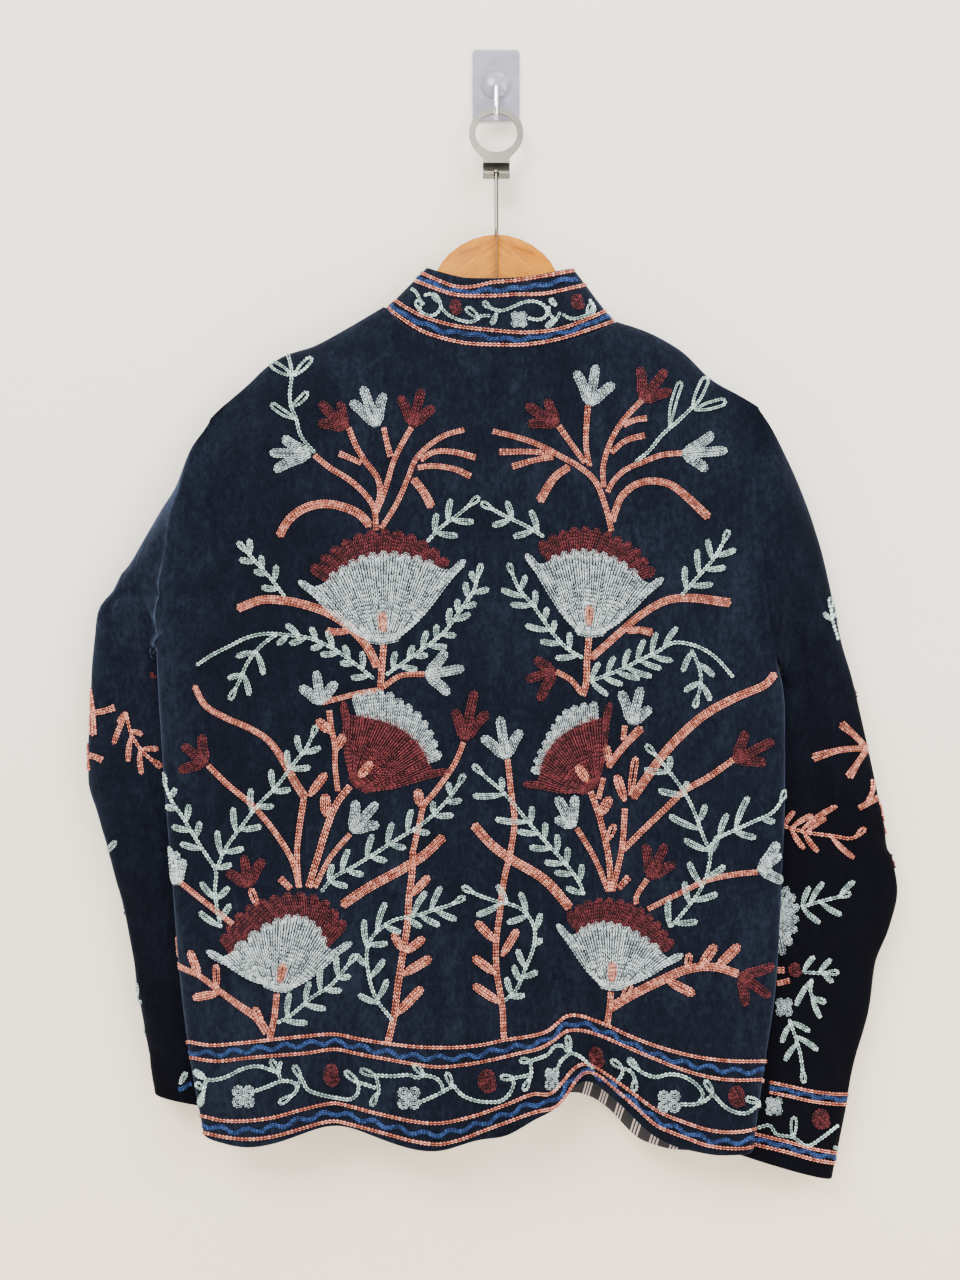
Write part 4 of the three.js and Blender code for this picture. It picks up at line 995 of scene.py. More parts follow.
def plain(panel, colour, points, wide=3.6, lift=0.1):
    row(panel, colour, curve(points), wide, lift)


# The link: two legs that leave the last link's end, swell and close over their own end.
# Each point has its place along and across, its height, and its painted light: 0 for painted shade in the crevices, up
# to 1 for a painted highlight on a leg's top.
def link_template():
    leg = [(-0.12, 0.03, 0.16, 0.0),
           (0.24, 0.41, -0.12, 0.0), (0.27, 0.25, 0.50, 0.62), (0.30, 0.09, 0.06, 0.0),
           (0.74, 0.54, -0.12, 0.05), (0.74, 0.34, 0.64, 1.0), (0.70, 0.14, 0.06, 0.0),
           (1.12, 0.05, 0.36, 0.42)]
    points = np.array(leg + [(t, -b, h, r) for t, b, h, r in leg])
    faces = [(0, 1, 2), (0, 2, 3), (1, 4, 5), (1, 5, 2), (2, 5, 6), (2, 6, 3), (4, 7, 5), (5, 7, 6)]
    other = [(a + 8, c + 8, b + 8) for a, b, c in faces]
    return points, np.array(faces + other)


LINK_POINTS, LINK_FACES = link_template()


def stitch(panel):
    """Builds a panel's rows as links and returns {colour: (points, faces, relief, tone)}."""
    surface = surfaces[panel]
    lines = rows_of.get(panel, [])
    everything = np.concatenate([line for _, line, _, _ in lines])
    p3, n3, lost = surface.place(everything)
    links, at = {}, 0
    for colour, line, width, lift in lines:
        p, n, gone = p3[at:at + len(line)], n3[at:at + len(line)], lost[at:at + len(line)]
        at += len(line)
        good = ~gone
        for run in np.split(np.arange(len(line)), np.flatnonzero(np.diff(good.astype(int))) + 1):
            if len(run) < 2 or not good[run[0]]:
                continue
            q, m = p[run], n[run]
            s = lengths(q)
            if s[-1] < PITCH * 0.6:
                continue
            count = max(1, int(round(s[-1] / (PITCH * max(0.85, min(1.15, width / ROW))))))
            places = np.linspace(0, s[-1], count + 1)
            if np.any(np.diff(s) <= 0):
                s = s + np.arange(len(s)) * 1e-7
            q = np.stack([np.interp(places, s, q[:, i]) for i in range(3)], 1)
            m = np.stack([np.interp(places, s, m[:, i]) for i in range(3)], 1)
            links.setdefault(colour, []).append((q[:-1], q[1:], m[:-1] + m[1:],
                                                 np.full(count, width * UNIT), np.full(count, lift)))
    made = {}
    for colour, parts in links.items():
        a, b, n, w, lift = (np.concatenate(x) for x in zip(*parts))
        n = unit(n)
        t = b - a
        t = t - np.sum(t * n, 1, keepdims=True) * n
        size = np.linalg.norm(t, axis=1, keepdims=True)
        t = t / np.maximum(size, 1e-6)
        side = np.cross(n, t)
        wobble = 1 + 0.12 * (sown(len(a), len(a)) - 0.5)
        high = np.minimum(w, 3.0) * 0.9 * (1 + 0.16 * (sown(len(a), len(a) + 5) - 0.5))
        points = (a[:, None] + (LINK_POINTS[None, :, :1] * size[:, None]) * t[:, None]
                  + LINK_POINTS[None, :, 1:2] * (w * wobble)[:, None, None] * side[:, None]
                  + (LINK_POINTS[None, :, 2:3] * high[:, None, None]
                     + lift[:, None, None]) * n[:, None])
        faces = LINK_FACES[None] + (np.arange(len(a)) * len(LINK_POINTS))[:, None, None]
        # painted light of each point: painted shade in the crevices, a painted highlight on the tops
        painted_light = np.tile(LINK_POINTS[:, 3], len(a))
        tone = np.repeat(sown(len(a), len(a) + 9), len(LINK_POINTS))
        made[colour] = (points.reshape(-1, 3), faces.reshape(-1, 3), painted_light, tone)
    return made


# ---------------------------------------------------------------- layout of the back
B = "back"


def spray(panel, colour, points, tips, wide=7.0, stalk=4.0, end=True, lean=1.05, lift=0.0):
    """A one-row stem with an open leaflet to each listed tip; the end of the stem is a leaflet too."""
    line = curve(P(points) if isinstance(points, str) else points)
    s = lengths(line)
    cut = s[-1] - 15 if end and s[-1] > 26 else s[-1]
    row(panel, colour, line[s <= cut + 3], stalk, lift)
    if cut < s[-1]:
        leaf(panel, colour, line[int(np.searchsorted(s, cut))], line[-1], wide + 0.6, lift=lift, hollow=True, fine=2.9,
             full=0.6)
    tips = P(tips) if isinstance(tips, str) and tips else tips
    for tip in (tips if tips is not None and len(tips) else []):
        gap = np.linalg.norm(line - tip, axis=1)
        near = int(np.argmin(gap))
        foot = int(np.clip(np.searchsorted(s, s[near] - gap[near] * lean), 0, len(line) - 1))
        turn = (line[min(foot + 4, len(line) - 1)] - line[max(foot - 4, 0)])
        side = np.sign(turn[0] * (tip - line[foot])[1] - turn[1] * (tip - line[foot])[0])
        leaf(panel, colour, line[foot], tip, wide - 0.5, bend=0.04 * side, lift=lift, hollow=True, fine=3.0, full=0.5)


# fans: body, rim, base, corners, top of the body, rim line, seed, lobes, lobes of the rim, seed's aim
FANS = [
    ("grey", "burgundy", (383, 644), ((299, 581), (465, 560)), (378, 553),
     P("306,570 326,551 350,536 378,528 408,532 432,544 453,562"), (383, 622), 10, 12, None),
    ("grey", "burgundy", (590, 637), ((526, 554), (663, 578)), (594, 551),
     P("535,544 548,535 567,528 589,526 614,533 638,547 658,572"), (589, 615), 9, 12, None),
    ("burgundy", "grey", (356, 787), ((343, 701), (449, 771)), (406, 729),
     P("351,694 368,689 386,689 405,700 422,713 435,734 444,758"), (366, 769), 9, 11, None),
    ("burgundy", "grey", (592, 790), ((523, 784), (610, 702)), (556, 737),
     P("529,774 533,760 540,745 550,726 562,710 578,703 598,700"), (582, 773), 9, 11, None),
    ("grey", "burgundy", (276, 991), ((207, 951), (352, 942)), (293, 915),
     P("217,942 228,922 248,904 275,894 303,891 328,900 350,926"), (282, 972), 10, 12, None),
    ("grey", "burgundy", (613, 990), ((557, 924), (683, 954)), (615, 923),
     P("564,916 576,904 592,898 612,897 638,904 660,921 677,944"), (612, 971), 10, 12, None),
]
TULIPS = [
    ("grey", "310,454", "281.5,437 269,453 273,471"), ("burgundy", "346,428", "319,401 339.5,401 317,423"),
    ("grey", "377,426", "349.5,400.5 362,385 384,392"), ("burgundy", "413,426", "399,395 422,387 435,406"),
    ("burgundy", "558,424", "525,404 546,398 526,424"), ("grey", "590,405", "575,370 596,364 615,383"),
    ("burgundy", "642,401", "640,366 666.5,369 673,391"), ("grey", "683,454", "714,433 728,450.5 708,471"),
    ("grey", "426,675", "447,650 465,668 450,695"), ("grey", "321,704", "299,686 316,670 337,681"),
    ("burgundy", "555,671", "534,658 525,680 539,702"), ("burgundy", "206,764", "202,733 182,744 178,771"),
    ("burgundy", "248,887", "226,871 244,854 264,858"), ("grey", "352,831", "356,799 378,802 380,824"),
    ("burgundy", "464,740", "454,708 475,689 489,711"), ("grey", "506,758", "480.7,736 499.5,715 521.7,729"),
    ("grey", "632,724", "620,690 641,686 652,707"), ("grey", "573,827", "556,796 575,794 554,818"),
    ("burgundy", "734,760", "746,730 775,740 767,763"), ("burgundy", "650,878", "645,843 666,843 676,863"),
    ("grey", "759,871", "778,841 781,853 783,882"), ("grey", "177,884", "169,849 176,850 184,858"),
    ("burgundy", "740,975", "775,965 771,997 745,1007"),
]
# salmon stems: width, width at the far end, points
STEMS = [
    # above the first fan
    (6, 6, "313,454 330,468 348,479 363,492 374,508 376,532"), (6, 6.5, "348,426 356,446 365,461 378,479 380,494 375,514"),
    (5.5, 7.5, "363,464 350,458 338,453"), (5.5, 7.5, "383.5,426 387,443 391,458"),
    (5.5, 6.5, "412.5,426 402.5,443 393,463 386,487 376,513"), (5.5, 5.5, "380,530 384,524 397.5,502 407.5,479 416,459 431,444 447,434.5 465.5,429.5"),
    (5.5, 7, "419,461 434,452 454,452 477,458"), (5.5, 7, "416,468 432,466 454,469 472,477"),
    (8.5, 9.5, "412.5,478 424,492.5 432,508"), (9, 9, "371,527 359,514 339.5,506 321,504 303,509 288,521 279,537"),
    # above the second fan
    (6, 5.5, "612,533 606,508 595,481 581,468 560,456 539,445 516,437 491.5,431"),
    (5.5, 7.5, "553,455 535.5,452 498,452"), (5.5, 7.5, "555,457 535.5,460 511,467"),
    (8, 9.5, "570,466 555,477 539,502"), (5.5, 7, "586,464 572,445 558,425"), (5.5, 7, "590,468 586,445 588,404"),
    (5.5, 6, "604,489 603,468 610,443 622,422 643,399"), (5.5, 7, "622,426 635,420 648,418"),
    (5.5, 7, "610,454 625,441 646,435"), (5.5, 6, "607,494 612,483 625,470 643,462 662,455 683,453"),
    (7, 9.5, "612,523 615,512 622,496 637,484 654,481 671,485 688,498 709,518"),
    # below the first fan, and its side leaves
    (7, 7, "384,643 382,666 380,692"), (9, 9, "378,668 366,645 348,626 328,613 309,606 287,601 262,600 237,609"),
    (7, 8.5, "350,630 338,632 326,631"), (5.5, 6, "382,688 400,676 426,674"), (5.5, 6, "379,690 360,693 340,698 321,703"),
    # below the second fan
    (7, 7, "589,636 587,661 586,684 582,697"), (7.5, 10, "590,659 607,644 626,627 645,612 668,600 691,598 731,603"),
    (7, 8.5, "626,631 640,630 653,633"), (5.5, 6, "582,694 571,680 555,671"),
    # from the left lower fan
    (6, 9.5, "194,685 205,705 226,718 249,728 269,741 284,762 295,782 306,799"), (6, 7, "299,889 297,856 299,831 304,798"),
    (6, 6, "207,764 226,783 253,806 274,831 292,860 300,889"), (7.5, 7.5, "308,889 318,856 328,824 337,803 351,785"),
    (5.5, 6.5, "338,793 335,764 335,747 331,726 329,709"), (5.5, 5.5, "314,889 330,858 351,833"),
    (6.5, 8, "292,890 286,884 279,877"), (5.5, 6, "179,881 205,902 234,925"),
    # from the right lower fan
    (5.5, 6, "609,893 595,859 576,827"), (6.5, 6.5, "611,893 609,860 604,835 598,812 590,790"),
    (5.5, 6, "604,776 598,800"), (7, 9.5, "607,768 624,746 642,727"), (5.5, 6.5, "623,742 625,724"),
    (6, 6.5, "612,893 622,847 625,807"), (9.5, 8, "632,799 645,780 663,755 682,734 707,713 739,696 766,684 775,673"),
    (6.5, 6.5, "622,851 645,828 663,811 684,791 707,778 734,759"), (6.5, 8, "617,890 624,882 630,876"),
    (5.5, 6, "637,906 636,898 648,878"), (5.5, 6, "646,910 678,894 708,880 737,874 759,872"),
    # thick diagonals
    (10, 9.5, "341,906 366,889 404,868 424,855 444,836"), (10, 9.5, "571,909 545,880 511,859 492,845 473,824"),
    # two plants in the middle
    (7.5, 7, "387,1046 394,1016 398,985 403,953 407.6,922 408.7,901 412,873 413,850"),
    (6, 5.5, "412,855 420,821 424,805 434,793 455,763 464,741"),
    (6.5, 6, "504,1040 502,1004 497,974 496,945 499.5,915 504,880 510,854 514.5,821 511,791 507.5,758"),
    # below the lower fans
    (6.5, 6.5, "277,992 274,1020 269,1042"), (5.5, 9.5, "173,940 176.6,963 200,976 217,989 240,1006 257,1018 268,1034"),
    (6.5, 6.5, "611,990 610,1006 607,1026"), (10, 8, "609,1009 628,997 664,979 688,969 714,967 739,974"),
]
# salmon leaves: width, base and tip
LEAVES = [
    (9, "309,796 327,772"), (11, "326,816 325,793"), (10, "330,732 316,719"), (9.5, "336,750 345,733"),
    (8, "257,905 250,887"), (8.5, "609,763 606,744"), (10.5, "600,815 611,796"), (8, "608,840 615,823"),
    (9.5, "625,801 616,774"), (8, "630,795 636,755"), (9.5, "396,1015 423.5,986"), (9.5, "402,975 432,957"),
    (9, "406,952 425,937"), (8.5, "402,950 392.5,932"), (8.5, "412,895 430,875"), (10, "420,806 417.5,788"),
    (9, "500.6,1003 472,984"), (9, "496,974 472,956"), (9, "495,941 475.5,921"), (8.5, "501.8,956 518.5,928"),
    (8.5, "200,977 189,949"), (7.5, "217,988 216,963"), (8.5, "219,993 192,998"), (8, "687,967 690,952"),
    (10, "700,967 716,944"), (10, "716,968 740,944"), (9.5, "666,980 696,995"), (8, "622,1000 632,981"),
    (8, "262,1023 254,1006"),
]
# mint: open sprays to listed tips
SPRAYS = [
    ("315,453 301,436 296,418 291,406 290,393 292,373 288,354", "270,403 309,391", 8.5, False),
    ("427,542 439,529 459,514 480,496", "437,512 451,497.5 459,536 475,522", 7.2, True),
    ("544,537 528,527 503,515 480,502", "506,500 530,509 491,526 512,537", 7.2, True),
    ("635,462 648,452 662,435 678,421 692,407.5", "681,380", 8.5, False),
    ("277,634 262,645 248,662 240,680 229,701", "235,657 227,679 264,676 250,697", 6.8, True),
    ("583,658 569,650 555,636 544,621 532,604 519,589 508,562",
     "554,658 539,641 524,625 509,604 500,589 569,631 555,619 547,606 535,589 526,574", 6.8, True),
    ("591,681 607,675 622,669 642,659 657,652 672,643 684,643 701,648 716,658 733,677",
     "600,661 615,655 630,648 645,638 657,631 678,626 609,696 624,685 641,679 653,677 663,669 674,661", 6.6, False),
    ("691,649 699,667 701,682 694,709", "682,673 715,677 683,692 711,702", 6.8, True),
    ("681,596 694,581 710,563 719,550 729,529", "685,565 697,548 707,538 714,584 727,567 737,549", 6.8, True),
    ("221,928 217,908 215,889 216,871 207,856 196,839 182,816 171,799 162,772",
     "176,787 189,803 200,820 165,806 171,826 179,843 200,881 230,886 198,911 231,903", 7.2, True),
    ("217,868 226,848 242,826 259,804 276,787 295,762 307,747 317,724",
     "217,829 233,806 251,787 271,768 287,749 296,734 233,864 245,848 263,826 275,806 292,789 312,767 322,747", 7, True),
    ("321,892 334,877 351,868 374,854 396,840 422,824 436,812 453,793 465,773",
     "333,863 349,848 373,833 393,821 412,808 433,800 448,781 349,887 365,875 388,861 407,848 431,833 455,815 463,800",
     7, True),
    ("584,895 579,882 565,863 548.6,845 530,824 516,807 502,791 488,779 472,764",
     "582,863 565,887 567.5,846 553,872 557,833 543,862 545,821 528,847 532,805 516,831 493.6,819 501,776 471.4,796",
     7, True),
    ("670,927 682,914 700,890 708,870 710,851 705,841 695,814 686,795 668,770 659,759 645,744",
     "643,769 670,755 657,790 687,780 668,815 706,803 683,839 718,834 688,861 726,865 684,880 719,893 668,898 699,921",
     7.2, True),
    ("707,849 720,837 735,830 752,822 774,811 786,789", "728,812 749,795 757,838 776,822", 7.2, True),
    ("277,1023 291,1015 311,998 331,985 341.5,973 357,953",
     "290,992 310,980 320.5,966 336,954 309,1023 327,1009 343,990 352,976", 6.8, True),
    ("393,1021 377,1000 371,985 367.7,968 366.7,953 371,939 381,928 394,920 406.6,917 421,914 436,909 450,905 466,896",
     "357,994 388,978 355,953 385,958 364,918 389,943 386,901 402,933 427,890 422.5,928 442,885 441,926 458,920",
     7, True),
    ("504,1001 516,990 525,969 533.4,948 534.6,929 527.6,915 518,907 492.4,900 476,894 461,886",
     "526,995 506,976 539,971 513,964 517,948 543,938 541,912 506,923 519.5,891 496,884 475,916", 7, True),
]
MINT_LEAVES = [
    (10, "292,376 270,363"), (9, "294,376 313,357"), (10.5, "692,409 707,376"), (10, "694,410 727,401"),
    (7.5, "174,858 167,846"),
]

for body, rim, base, corners, top, line, seed, lobes, rim_lobes, aim in FANS:
    fan(B, body, rim, base, corners, top, line, seed, lobes, rim_lobes, seed_tip=aim)
for colour, base, tips in TULIPS:
    tulip(B, colour, P(base)[0], P(tips))
for wide, end, points in STEMS:
    stem(B, "salmon", P(points), wide, end, lift=0.1)
for wide, points in LEAVES:
    leaf(B, "salmon", *P(points), wide, lift=0.15, full=0.35)
for points, tips, wide, end in SPRAYS:
    spray(B, "mint", points, tips, wide, end=end)
for wide, points in MINT_LEAVES:
    leaf(B, "mint", *P(points), wide, lift=0.05, hollow=True, full=0.5)
sprig(B, "mint", P("386,675 407,660 421,650 435,640 447,629 455,618 467,601 474,590 478,576"), gap=17.5, long=19, start=0.06)
sprig(B, "mint", P("374,679 358,666 332,648 309,638 279,634"), gap=18.5, long=19, start=0.05, end=False)
row(B, "mint", curve(P("279,634 263,634 246,638 230,646 212,655 197,665")), 4.0)
sprig(B, "mint", P("285,597 272,580 258,564 246,551"), gap=18, long=18, start=0.16)


# the border above the hem: lines in picture units, and the vine between them
def border(panel, lines, period=26):
    for kind, points in lines:
        p = P(points) if isinstance(points, str) else points
        if kind == "salmon":
            plain(panel, "salmon", p, 3.6)
        else:
            wave(panel, "blue", p, height=2.3, period=period, wide=2.45, thick=2)


HEM_LINES = [
    ("salmon", "187,1041 208,1045 240,1043 268,1040 306,1036 335,1034 360,1039 384,1043 420,1047 462,1047 486,1044 504,1040 530,1036 547,1031 557,1023 566,1016 578,1015 592,1019 607,1025 630,1036 653,1045 680,1053 704,1058 735,1061 768,1061"),
    ("blue", "188,1051 210,1054 240,1051 268,1048 306,1044 335,1042 360,1047 384,1052 420,1057 462,1057 486,1053 504,1049 530,1045 547,1040 557,1032 566,1025 578,1023 592,1027 607,1033 630,1044 653,1054 680,1062 704,1067 735,1071 768,1071"),
    ("salmon", "190,1057 215,1061 246,1058 280,1055 306,1053 335,1049 360,1054 392,1060 420,1065 440,1067 462,1065 486,1061 520,1053 540,1048 552,1041 566,1031 582,1030 600,1035 625,1046 653,1058 684,1070 715,1078 740,1080 766,1079"),
    ("salmon", "200,1115 220,1120 239,1121 270,1118 300,1110 320,1105 335,1103 350,1106 380,1114 418,1122 440,1123 462,1119 480,1114 510,1103 533,1094 549,1094 562,1082 572,1070 582,1064 592,1065 610,1076 632,1092 653,1108 668,1116 684,1122 705,1129 725,1132 745,1131 757,1128"),
    ("blue", "202,1124 222,1129 239,1131 270,1128 300,1120 320,1115 335,1113 350,1116 380,1124 418,1133 440,1134 462,1129 480,1124 510,1113 533,1104 551,1102 564,1090 574,1078 584,1072 594,1073 612,1085 634,1102 655,1119 670,1126 686,1132 706,1139 726,1142 745,1141 756,1139"),
    ("salmon", "203,1132 225,1137 250,1139 275,1136 303,1128 320,1123 335,1121 350,1124 380,1132 418,1142 440,1144 462,1139 480,1132 510,1121 535,1112 555,1107 566,1095 576,1080 586,1072 597,1074 616,1089 636,1107 656,1125 671,1132 687,1138 706,1145 726,1148 745,1148 754,1146"),
]
VINE_STEMS = [
    "194,1071 206,1079 212,1080 226,1077 242,1069 258,1066 271,1070 279,1073", "206,1080 204,1091 201,1104",
    "281,1061 279,1073 281,1081", "255,1091 269,1086 281,1081 295,1083 297,1090 290,1097",
    "297,1089 301,1077 307,1089 319,1094 338,1098 351,1099 358,1093 359,1083",
    "359,1082 376,1088", "376,1075 379,1091 376,1098", "376,1075 392,1076 411,1075 417,1078 424,1075",
    "424,1075 436,1078 442,1085 443,1091", "418,1103 434,1096 444,1091 452,1086",
    "453,1085 462,1095 478,1101 492,1102 501,1101 510,1093 514,1081 512,1078", "514,1078 529,1075",
    "530,1061 531,1075 528,1082", "530,1061 548,1054 554,1046 563,1046 567,1051", "567,1042 570,1052 561,1060 556,1070",
    "570,1052 580,1056 586,1061 594,1068", "617,1081 622,1075 623,1068", "623,1068 632,1072 636,1083",
    "628,1059 640,1071 655,1077 670,1074 685,1077 699,1087 703,1096 699,1102", "679,1104 695,1104 706,1100 712,1094",
    "713,1094 724,1106 735,1112 747,1113 755,1107 761,1102",
]
VINE_LEAVES = [
    "206,1079 193,1070", "204,1089 195,1082", "203,1092 200,1107", "279,1073 270,1058", "291,1096 278,1104",
    "301,1078 293,1064", "359,1083 344,1070", "376,1076 359,1069", "377,1093 371,1107", "424,1075 413,1064",
    "452,1086 446,1071", "514,1078 499,1077", "530,1061 518,1060", "529,1079 523,1092", "570,1051 567,1034",
    "623,1068 610,1059", "635,1079 634,1093", "639,1070 627,1057", "713,1093 704,1079", "760,1102 744,1098",
]
VINE_FLOWERS = [
    ("grey", (243.5, 1096.5), 13.5, 1.0), ("burgundy", (331.5, 1074), 20, 28),
    ("grey", (409, 1098), 13.5, 1.0), ("burgundy", (487.5, 1080), 22, 28),
    ("grey", (551.5, 1079), 13.5, 0.6), ("burgundy", (597, 1056), 19, 26),
    ("grey", (669, 1101.5), 13.5, 1.0), ("burgundy", (737, 1095.5), 21, 26),
]


def vine(panel, stems, leaves, flowers, shift=(0, 0)):
    move = np.asarray(shift, float)
    for points in stems:
        row(panel, "mint", curve(P(points) + move), 4.0, 0.05)
    for points in leaves:
        a, b = P(points) + move
        leaf(panel, "mint", a, b, 7.6, lift=0.1, hollow=True, fine=2.9)
    for colour, at, *size in flowers:
        if colour == "grey":
            flower(panel, colour, np.asarray(at) + move, size[0], 4, 45, size[1])
        else:
            rosette(panel, colour, np.asarray(at) + move, *size)


border(B, HEM_LINES)
vine(B, VINE_STEMS, VINE_LEAVES, VINE_FLOWERS)

# ---------------------------------------------------------------- collar
C = "collar"
for points in ("416.5,271 439,281 456,287 473,287 490,283 516,280.5 542,276.5 576,270.5",
               "415,281 439,290 456,295 490,296 516,294.6 542,294 568,289 586,285",
               "394,300 410,310 430,319 456,326 490,330 525,332.5 559,329 585,320 608,310",
               "385.5,307 404,320 422,331 439,337 465,343 490,344.5 525,344.5 559,339 594,328 614.5,321"):
    plain(C, "salmon", P(points), 3.9)
for points in ("416,276.5 430,283 447,289 473,292 490,290 508,290 520,287 534,287 551,283 577,278",
               "390,304 404,315 427,325 447,332 466,333 490,338 525,339 542,336 577,329 594,321 611,317"):
    wave(C, "blue", P(points), height=1.3, period=26, wide=2.6, thick=2)
for points in ("411,289 416,292 420,300 424,305", "424,296 432,294 440,301 440,310 432,316 422,313 417,306",
               "440,306 447,314 459,320 472,322 479,318 480,316 490,316", "490,308 501,311 513,307 525,302 537,302 546,308 547,315 539,320 528,318",
               "560,312 556,320 549,325", "549,306 549,314 556,320", "562,314 571,319 585,316 594,312 594,307 589,300"):
    row(C, "mint", curve(P(points)), 3.6, 0.05)
for wide, points in ((8, "420,310 417,299"), (7, "440,303 432,293"), (8, "479,318 465,307"), (7, "490,308 482,301"),
                     (6, "497,313 491,326"), (6.5, "556,306 549,298"), (6.5, "556,319 545,328"), (7, "587,314 592,302")):
    leaf(C, "mint", *P(points), wide, lift=0.1, hollow=True, fine=2.7)
flower(C, "grey", (519, 319.6), 9.5, 4, 45, 1.0)
rosette(C, "burgundy", (456, 306), 16, 20)
rosette(C, "burgundy", (577.5, 301), 17, 20)

# ---------------------------------------------------------------- right sleeve and its cuff
R = "sleeve_right"
for wide, end, points in ((6, 10, "866,748 840,750 812,758"), (6, 10, "867,749 855,736 840,723"), (6, 10, "867,749 858,762 848,778"),
                          (6, 7, "857,809 868,803 879,797"), (5, 6, "866,804 872,792 873,778"),
                          (7, 7, "775,970 786,970"), (6, 6, "775,984 791,980"), (7, 8, "867,748 880,741 890,730")):
    stem(R, "salmon", P(points), wide, end, lift=0.1)
spray(R, "salmon", "784,826 805,832 833,836 853,838 866,827", "795,810 814,814 827,817 838,805 805,850 819,853 855,859", 6.4)
for k, tip in enumerate(P("788,885 795,893 800,905 800,919 798,932 791,946 783,956")):
    leaf(R, "grey", P("776,919")[0], tip, 9.2, lift=0.1 + 0.05 * (k % 2), full=0.5)
for n in range(5):
    row(R, "grey", curve([(777, 901 + n * 8), (785, 902 + n * 8), (791, 905 + n * 7)]), 4.2, 0.35)
spray(R, "mint", "802,907 818,902 834,898 852,893", "810,885 824,881 855,880 821,924 843,916", 6.6, end=True)
rosette(R, "burgundy", (795, 969), 17, 18, 5)
spray(R, "mint", "803,972 819,973 840,972", "815,955 834,983 832,958", 6.4)
spray(R, "mint", "812,979 811,995 827,1003", "821,1019 795,1007", 6.4)
flower(R, "grey", (784, 1007), 11, 4, 45, 0.9)
spray(R, "mint", "789,1019 795,1036 800,1053 804,1084", "811,1032 781,1044 819,1051 784,1062", 6.4)
spray(R, "mint", "838,640 832,620 830,596", "842,606 822,612", 6.0)
flower(R, "grey", (774, 1106), 11, 4, 45, 0.9)
leaf(R, "mint", (793, 1138), (794, 1115), 8, hollow=True, fine=2.9)
for points in ("757,1128 770,1125 776,1134 793,1137 807,1146 821,1138 838,1125", "833,1147 846,1150"):
    row(R, "mint", curve(P(points)), 3.8, 0.05)
rosette(R, "burgundy", (821, 1118), 22, 24)
for shift, kind in ((0, "salmon"), (5.0, "blue"), (10.5, "salmon")):
    line = P("750,1132 757,1134 790,1142 815,1149 838,1153") + np.array([-1.0, shift])
    plain(R, "salmon", line, 3.8) if kind == "salmon" else wave(R, "blue", line, height=1.5, period=22, wide=2.7)
for shift in (-48.0, -43.5, -38.0):
    line = P("770,1130 790,1134 812,1139 838,1142 852,1142") + np.array([-1.0, shift])
    plain(R, "salmon", line, 3.6) if shift != -43.5 else wave(R, "blue", line, height=1.5, period=22, wide=2.6)
# the far side of the sleeve's back carries the same kind of flowers
tulip(R, "burgundy", (905, 880), P("893,850 912,846 925,862"))
stem(R, "salmon", P("880,800 892,840 905,880 915,930"), 6, 6, lift=0.1)

# ---------------------------------------------------------------- left sleeve
L = "sleeve_left"
for wide, end, points in ((7, 9, "89,688 92,712 93,736"), (6, 8, "93,713 104,711 116,707"), (6, 7.5, "86,742 88,772"),
                          (6, 7.5, "88,755 96,757 104,761")):
    stem(L, "salmon", P(points), wide, end, lift=0.1)
spray(L, "salmon", "126,712 132,735 144,753 163,768", "118,725 113,746 144,735 160,749 128,763 142,776", 6.4)
rosette(L, "burgundy", (153, 674), 10, 12, 4)
leaf(L, "mint", (106, 853), (117, 840), 6.5, hollow=True, fine=2.9)
spray(L, "mint", "137,1010 138,995 136,982", "143,1000 131,996", 5.5)
leaf(L, "mint", (142, 1040), (143, 1028), 5)
leaf(L, "mint", (180, 1084), (187, 1071), 6.5, hollow=True, fine=2.9)
wave(L, "blue", P("178,1089 184,1087 192,1084"), height=1.2, period=16, wide=2.6)

# ---------------------------------------------------------------- sides that can't be seen from behind
SHOW_FANS = {"front_left": (0, 2, 4), "front_right": (1, 3, 5)}
for panel, chosen in SHOW_FANS.items():
    low, high = (0, 452) if panel == "front_left" else (505, 999)

    def mine(points):
        return points[:, 0].min() > low and points[:, 0].max() < high

    for n in chosen:
        body, rim, base, corners, top, line, seed, lobes, rim_lobes, aim = FANS[n]
        fan(panel, body, rim, base, corners, top, line, seed, lobes, rim_lobes, seed_tip=aim)
    for colour, base, tips in TULIPS:
        if mine(P(tips)) and P(base)[0][1] > 440:
            tulip(panel, colour, P(base)[0], P(tips))
    for wide, end, points in STEMS:
        if mine(P(points)) and P(points)[:, 1].min() > 425:
            stem(panel, "salmon", P(points), wide, end, lift=0.1)
    for points, tips, wide, end in SPRAYS[4:]:
        if mine(P(points)):
            spray(panel, "mint", points, tips, wide, end=end)


def edge_line(panel, at, up):
    """A panel's lower edge in picture units, moved up."""
    line = surfaces[panel].uv[at].copy()
    line[:, 1] -= up
    keep = np.concatenate([[True], np.linalg.norm(np.diff(line, axis=0), axis=1) > 0.3])
    line = line[keep]
    return line[::max(1, len(line) // 60)]


def edging(panel, at, band, inset=16):
    """Two groups of border lines with a row of flowers between them."""
    for low in (inset, inset + band):
        for up, kind in ((low, "salmon"), (low + 5.5, "blue"), (low + 11, "salmon")):
            line = edge_line(panel, at, up)
            if kind == "salmon":
                plain(panel, "salmon", line, 4.0)
            else:
                wave(panel, "blue", line, height=2.2, period=26, wide=2.7)
    middle_line = curve(edge_line(panel, at, inset + (band + 11) / 2))
    wave(panel, "mint", middle_line, height=band * 0.17, period=64, wide=3.8, thick=1)
    far = lengths(middle_line)
    for n, reach in enumerate(np.arange(22, far[-1] - 12, 64)):
        spot = middle_line[int(np.searchsorted(far, reach))]
        if n % 2:
            rosette(panel, "burgundy", spot, min(22, band * 0.5), min(24, band * 0.6))
        else:
            flower(panel, "grey", spot, min(13, band * 0.3))


